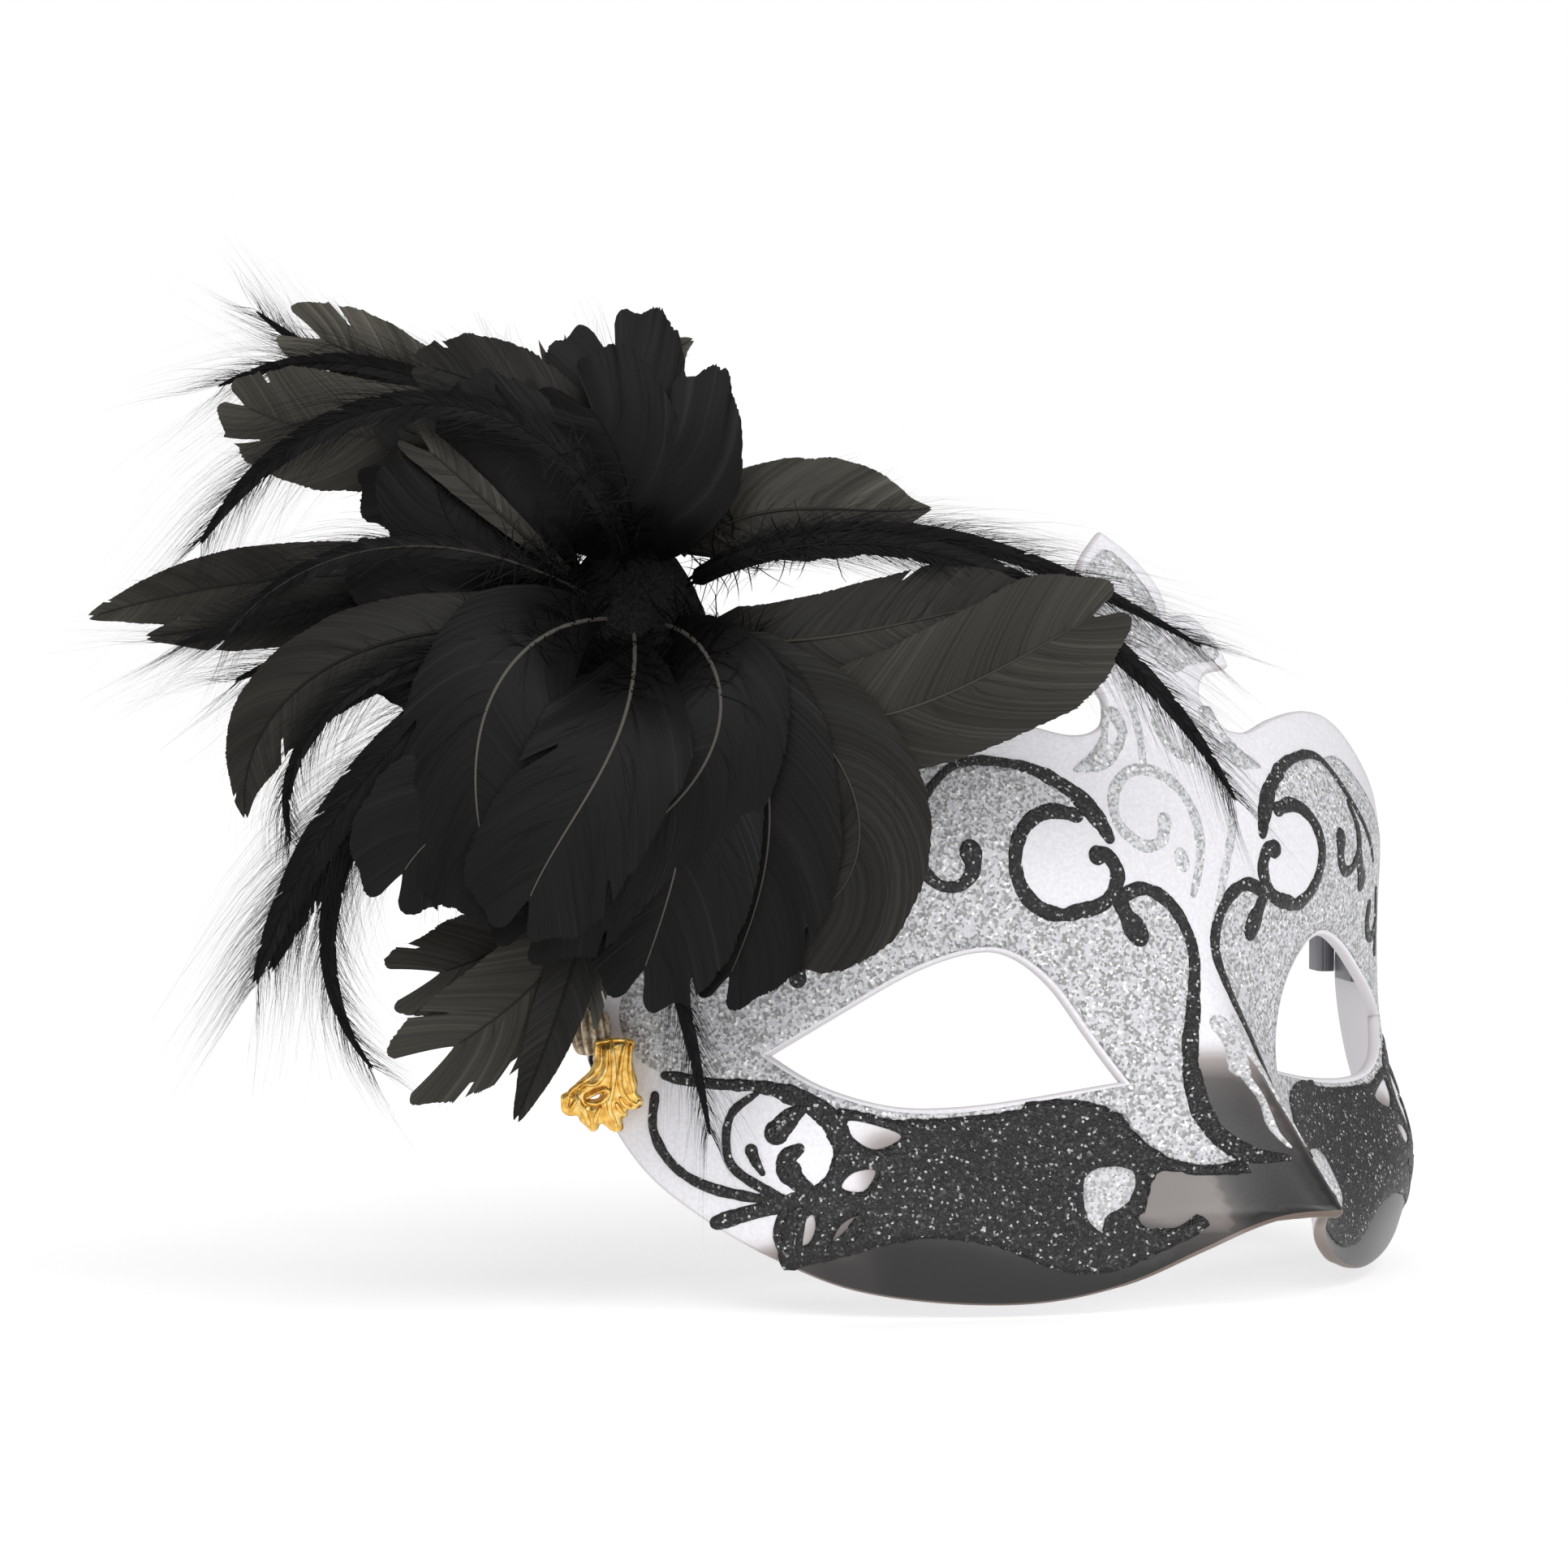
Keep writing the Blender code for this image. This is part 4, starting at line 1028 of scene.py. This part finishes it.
LEAF_RIBS = [
    ([(1.3, 6.4), (1.5, 4), (1.6, 1.7), (1.3, -0.6), (0.9, -2.8), (1.6, -4.8), (2.0, -5.8)], 0.42),
    ([(3.2, 6.4), (2.7, 4), (2.4, 1.7), (2.7, -0.6), (3.7, -2.1), (4.9, -2.6), (5.2, -1.9)], 0.40),
    ([(4.0, 6.0), (3.8, 3.6), (3.9, 1.7), (4.3, -0.1), (4.4, -0.9)], 0.38),
    ([(-0.3, 5.8), (-0.4, 3.0), (-1.9, 1.2), (-3.6, 0.0), (-4.8, -1.1), (-5.1, -3.0)], 0.42),
    ([(0.6, 5.4), (0.4, 2.6), (-0.8, 0.5), (-2.8, 0.2), (-3.4, -0.6)], 0.38),
    ([(-2.4, -1.8), (-0.9, -0.9), (0.5, -0.4), (0.8, -1.2), (-0.3, -2.3), (-1.7, -2.4),
      (-2.5, -2.1)], 0.34),
    ([(-3.9, -1.2), (-3.3, -2.4), (-2.5, -3.8), (-1.8, -5.6)], 0.42),
    ([(-4.4, -1.0), (-5.2, -1.7), (-5.4, -2.5)], 0.34),
    ([(-3.7, -1.8), (-4.4, -2.9), (-4.7, -3.7)], 0.34),
    ([(-0.2, -2.7), (-0.9, -4.2), (-1.2, -5.8)], 0.36),
    ([(1.8, -2.3), (2.4, -3.3), (3.0, -3.9)], 0.36),
    ([(2.4, -1.5), (3.0, -2.7), (4.1, -3.0)], 0.32),
    ([(-1.0, 6.1), (0.8, 6.5), (2.6, 6.6), (4.2, 6.2)], 0.30),
]


def leaf_height(x, z, gap):
    body = 0.55 + 0.75 * np.exp(-((x - 0.12 * z) / 2.4) ** 2) + 0.10 * np.sin(3.1 * x + 0.9 * z)
    return 0.25 + body * (1 - np.exp(-gap / 0.55))


def tube(path, radius, sides=8, ends=0.55):
    """Tapered round bar through places in millimetres; returns points and faces."""
    line = smooth_run(path, 0.3)
    ahead = unit(np.gradient(line, axis=0))
    side = np.cross(ahead, PLUME_OUT)
    side /= np.maximum(np.linalg.norm(side, axis=1, keepdims=True), 1e-6)
    up = np.cross(side, ahead)
    k = np.linspace(0, 1, len(line))
    thick = radius * (ends + (1 - ends) * np.sin(math.pi * k) ** 0.6)
    angle = np.linspace(0, 2 * math.pi, sides, endpoint=False)
    ring = side[:, None, :] * np.cos(angle)[:, None] + up[:, None, :] * np.sin(angle)[:, None]
    spots = line[:, None, :] + ring * thick[:, None, None]
    return spots.reshape(-1, 3), capped_faces(len(line), sides)


def build_leaf():
    edge = smooth_run(LEAF_EDGE, 0.35, True)
    hole = smooth_run([(-2.2, -1.7), (-1.2, -1.2), (-0.4, -1.1), (-0.7, -1.7), (-1.6, -1.9)],
                      0.25, True)
    spots, faces = fill_flat(edge, [hole], 0.42)
    gap = np.minimum(gap_to(spots, edge), gap_to(spots, hole))
    a, b = LEAF_AT[0] + spots[:, 0], LEAF_AT[1] + spots[:, 1]
    top = LEAF_AT[2] + leaf_height(spots[:, 0], spots[:, 1], gap)
    count = len(spots)
    rows = [tuple(f) for f in faces] + [tuple(f[::-1] + count) for f in faces]
    for ring in border_loops(faces):
        rows += wall_faces(ring, [k + count for k in ring])
    back = plume_spots(a, b, np.full(count, LEAF_AT[2]))
    parts = Parts()
    parts.join(np.vstack([plume_spots(a, b, top), back]), rows)
    for path, radius in LEAF_RIBS:
        line = smooth_run(path, 0.5)
        away = gap_to(line, edge)
        rise = LEAF_AT[2] + leaf_height(line[:, 0], line[:, 1], away) + 0.12
        path = plume_spots(LEAF_AT[0] + line[:, 0], LEAF_AT[1] + line[:, 1], rise)
        parts.join(*tube(path, radius))
    made = parts.mesh("acanthus_leaf", GOLD)
    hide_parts("gold_leaf")


def lathe(at, axis, rings, count, ribs=0, depth=0.0, twist=0.0):
    """Solid of revolution with twisted ribs; rings are (radius, travel, ribbed)."""
    axis = unit(np.array(axis, float))
    across = unit(np.cross(axis, [1.0, 0, 0] if abs(axis[0]) < 0.6 else [0, 1.0, 0]))
    third = np.cross(axis, across)
    angle = np.linspace(0, 2 * math.pi, count, endpoint=False)[:, None]
    radius, travel, ribbed = (np.array(v)[None, :] for v in zip(*rings))
    wave = np.cos(ribs * angle + twist * travel)
    grow = depth * (np.sqrt(np.abs(wave)) * np.sign(wave)) * ribbed
    size = len(rings)
    full = (radius + grow)[..., None]
    spoke = across * np.cos(angle)[..., None] + third * np.sin(angle)[..., None]
    spots = np.array(at) + spoke * full + axis * travel[..., None]
    rows = []
    for k in range(count):
        j = (k + 1) % count
        for r in range(size):
            q = (r + 1) % size
            rows.append((k * size + r, j * size + r, j * size + q, k * size + q))
    groove = np.clip(0.5 - 0.5 * wave, 0, 1) * ribbed
    return spots.reshape(-1, 3), rows, (groove + 0 * angle).ravel()


def cream_axis():
    tilt = math.radians(CREAM_TILT)
    return -PLUME_RIGHT * math.cos(tilt) - PLUME_UP * math.sin(tilt)


def build_beads():
    tall = BEAD_TALL / 2
    rings = [(BEAD_HOLE, -tall, 0.0), (1.2, -tall - 0.02, 0.0)]
    for k in range(1, 24):
        lean = math.pi * (k / 24 - 0.5)
        full = min(1.0, 1.6 * math.cos(lean))
        rings.append((1.2 + (BEAD_R - 1.4) * math.cos(lean) ** 0.75, tall * math.sin(lean), full))
    rings += [(1.2, tall + 0.02, 0.0), (BEAD_HOLE, tall, 0.0)]
    at = plume_spots(*BEAD_AT)
    spots, rows, groove = lathe(at, (0, 0, 1), rings, 168, 12, 0.2, 0.62)
    made = new_mesh("melon_bead", spots, rows, OLD_GOLD, body="ribbed_bead",
                    fields={"groove": groove})
    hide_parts("ribbed_bead")
    rings = [(0.6, -0.85, 0), (0.7, -0.92, 0), (0.86, -0.88, 0), (0.94, -0.75, 0),
             (0.97, -0.3, 0), (0.97, 0.3, 0), (0.94, 0.75, 0), (0.86, 0.88, 0),
             (0.7, 0.92, 0), (0.6, 0.85, 0)]
    spots, rows, _ = lathe(plume_spots(*CREAM_AT), cream_axis(), rings, 40)
    made = new_mesh("small_cream_bead", spots, rows, CREAM, body="cream_bead")
    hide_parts("cream_bead")


def build_cord():
    bead, cream, tip = plume_spots(*BEAD_AT), plume_spots(*CREAM_AT), cream_axis()
    start = plume_spots(LEAF_AT[0] - 0.6, LEAF_AT[1] + 1.0, LEAF_AT[2] - 1.2)
    up = PLUME_UP
    over = bead + up * 4.6 - (bead - cream) * 0.22
    over[2] = bead[2] + 4.7
    path = [start, bead - up * 4.2, bead - up * 3.2, bead, bead + up * 3.2, over,
            cream - tip * 1.6, cream, cream + tip * 1.4]
    spots, rows = tube(path, CORD_R, 10, 1.0)
    made = new_mesh("twisted_cord", spots, rows, CORD)
    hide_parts("bead_cord")


# ---- ribbon ties
TIE_Z, TIE_TALL = 5.5, 6.0
PATCH_AT, PATCH_LONG, PATCH_TALL, PATCH_THICK = 86.0, 11.0, 8.0, 0.9
LOOP_REACH, LOOP_GAP, LOOP_THICK = 8.0, 1.5, 0.7


def temple_frame(side):
    near, far = (shell_at(side * (PATCH_AT + step), TIE_Z) for step in (-4, 4))
    back = far - near
    back[2] = 0
    back /= np.linalg.norm(back)
    inward = np.array([-side * back[1], side * back[0], 0.0])
    return (near + far) / 2 + inward * (WALL + PATCH_THICK / 2 + 0.75), back, inward


def band(name, origin, back, inward, outline, tall, body, node):
    """Ribbon standing upright: an outline seen from above, raised with softened selvages."""
    outline = np.array(outline)
    centre, points = outline.mean(0), []
    levels = [(-0.5, 0.86), (-0.49, 0.97), (-0.46, 1), (-0.2, 1), (0, 1), (0.2, 1), (0.46, 1),
              (0.49, 0.97), (0.5, 0.86)]
    for lift, shrink in levels:
        spot = centre + (outline - centre) * [1 - (1 - shrink) * 0.1, shrink]
        points.append(origin + back * spot[:, :1] + inward * spot[:, 1:] + PLUME_UP * lift * tall)
    rows = capped_faces(len(levels), len(outline))
    made = new_mesh(name, np.vstack(points), rows, RIBBON, body=body)
    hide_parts(node)


def build_tie(side, word):
    centre, back, inward = temple_frame(side)
    long, thick = PATCH_LONG / 2, PATCH_THICK / 2
    outline = []
    for cu, cw, first in ((long - 0.3, thick - 0.3, 0), (-long + 0.3, thick - 0.3, 90),
                          (-long + 0.3, -thick + 0.3, 180), (long - 0.3, -thick + 0.3, 270)):
        for turn in (0, 30, 60, 90):
            angle = math.radians(first + turn)
            outline.append((cu + 0.3 * math.cos(angle), cw + 0.3 * math.sin(angle)))
    band("ribbon_patch_" + word, centre, back, inward, outline, PATCH_TALL, "mask",
         "tie_patch_" + word)
    root = centre + back * 5.9 + inward * 1.6
    full = LOOP_GAP / 2 + LOOP_THICK
    walls = []
    for half in (full, LOOP_GAP / 2):
        run = []
        for middle, turn in ((LOOP_REACH - full, -0.5), (full, 0.5)):
            for k in range(15):
                angle = math.pi * (k / 14 + turn)
                run.append((middle + half * math.cos(angle), half * math.sin(angle)))
        walls.append(np.array(run))
    points = []
    rounds = [(wall, lift) for wall, sign in ((0, 1), (1, -1))
              for lift in (-0.5 * sign, -0.47 * sign, 0.47 * sign, 0.5 * sign)]
    ease = [0.12, 0, 0, 0.12, 0.12, 0, 0, 0.12]
    middle = (walls[0] + walls[1]) / 2
    for (which, lift), pull in zip(rounds, ease):
        spot = walls[which] * (1 - pull) + middle * pull
        points.append(root + back * spot[:, :1] + inward * spot[:, 1:] + PLUME_UP * lift * TIE_TALL)
    rows = ring_faces(len(rounds), len(walls[0]), closed=True)
    made = new_mesh("ribbon_loop_" + word, np.vstack(points), rows, RIBBON,
                    body="tie_loop_" + word)
    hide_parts("tie_loop_" + word)


# ---- stage, lights and camera
def build_stage():
    data = bpy.data.meshes.new("white_floor")
    size, level = 6.0, -0.0405
    data.from_pydata([(-size, -size, level), (size, -size, level), (size, size, level),
                      (-size, size, level)], [], [(0, 1, 2, 3)])
    floor = put("white_floor", data)
    mat, _, s = shader_of("white_sweep", (0.92, 0.92, 0.92), 1.0, 0.0)
    s.inputs["Emission Color"].default_value = (1, 1, 1, 1)
    s.inputs["Emission Strength"].default_value = 0.36
    data.materials.append(mat)
    world = bpy.data.worlds.new("white_room")
    bpy.context.scene.world = world
    world.use_nodes = True
    tree = world.node_tree
    soft = tree.nodes["Background"]
    soft.inputs[0].default_value, soft.inputs[1].default_value = (1, 1, 1, 1), 0.45
    clear = add(tree, "ShaderNodeBackground", Strength=1.0)
    clear.inputs[0].default_value = (1, 1, 1, 1)
    pick, choose = add(tree, "ShaderNodeLightPath"), add(tree, "ShaderNodeMixShader")
    tree.links.new(pick.outputs["Is Camera Ray"], choose.inputs[0])
    tree.links.new(soft.outputs[0], choose.inputs[1])
    tree.links.new(clear.outputs[0], choose.inputs[2])
    tree.links.new(choose.outputs[0], tree.nodes["World Output"].inputs[0])


def sun(name, towards, strength, spread):
    data = bpy.data.lights.new(name, "SUN")
    data.energy, data.angle = strength, math.radians(spread)
    lamp = put(name, data)
    lamp.rotation_euler = Vector(towards).to_track_quat("-Z", "Y").to_euler()


def area_light(name, at, target, size, watts):
    data = bpy.data.lights.new(name, "AREA")
    data.energy, data.size = watts, size
    lamp = put(name, data)
    lamp.location = at
    lamp.rotation_euler = (Vector(target) - Vector(at)).to_track_quat("-Z", "Y").to_euler()


def build_camera():
    azimuth, rise, far = math.radians(-40.0), math.radians(1.5), 0.7
    target = Vector((-0.080, 0.0, 0.0364))
    back = Vector((math.sin(azimuth) * math.cos(rise), -math.cos(azimuth) * math.cos(rise),
                   math.sin(rise)))
    data = bpy.data.cameras.new("photo_camera")
    data.lens, data.sensor_width, data.clip_start = 118.0, 36.0, 0.01
    camera = put("photo_camera", data)
    camera.location = target + back * far
    camera.rotation_euler = (-back).to_track_quat("-Z", "Y").to_euler()
    bpy.context.scene.camera = camera


build_shell()
build_paintwork()
for number, spec in enumerate(FEATHERS):
    build_feather(spec, number)
build_pad()
build_leaf()
build_beads()
build_cord()
for side, word in ((-1, "right"), (1, "left")):
    build_tie(side, word)
build_stage()
sun("key", (0.2, 0.85, -0.55), 1.5, 55)
area_light("soft_box", (-1.1, -0.7, 0.9), (-0.04, 0.0, 0.04), 0.5, 5)
build_camera()
view = bpy.context.scene.view_settings
view.view_transform, view.look, view.exposure, view.gamma = "Standard", "None", 0.0, 1.0
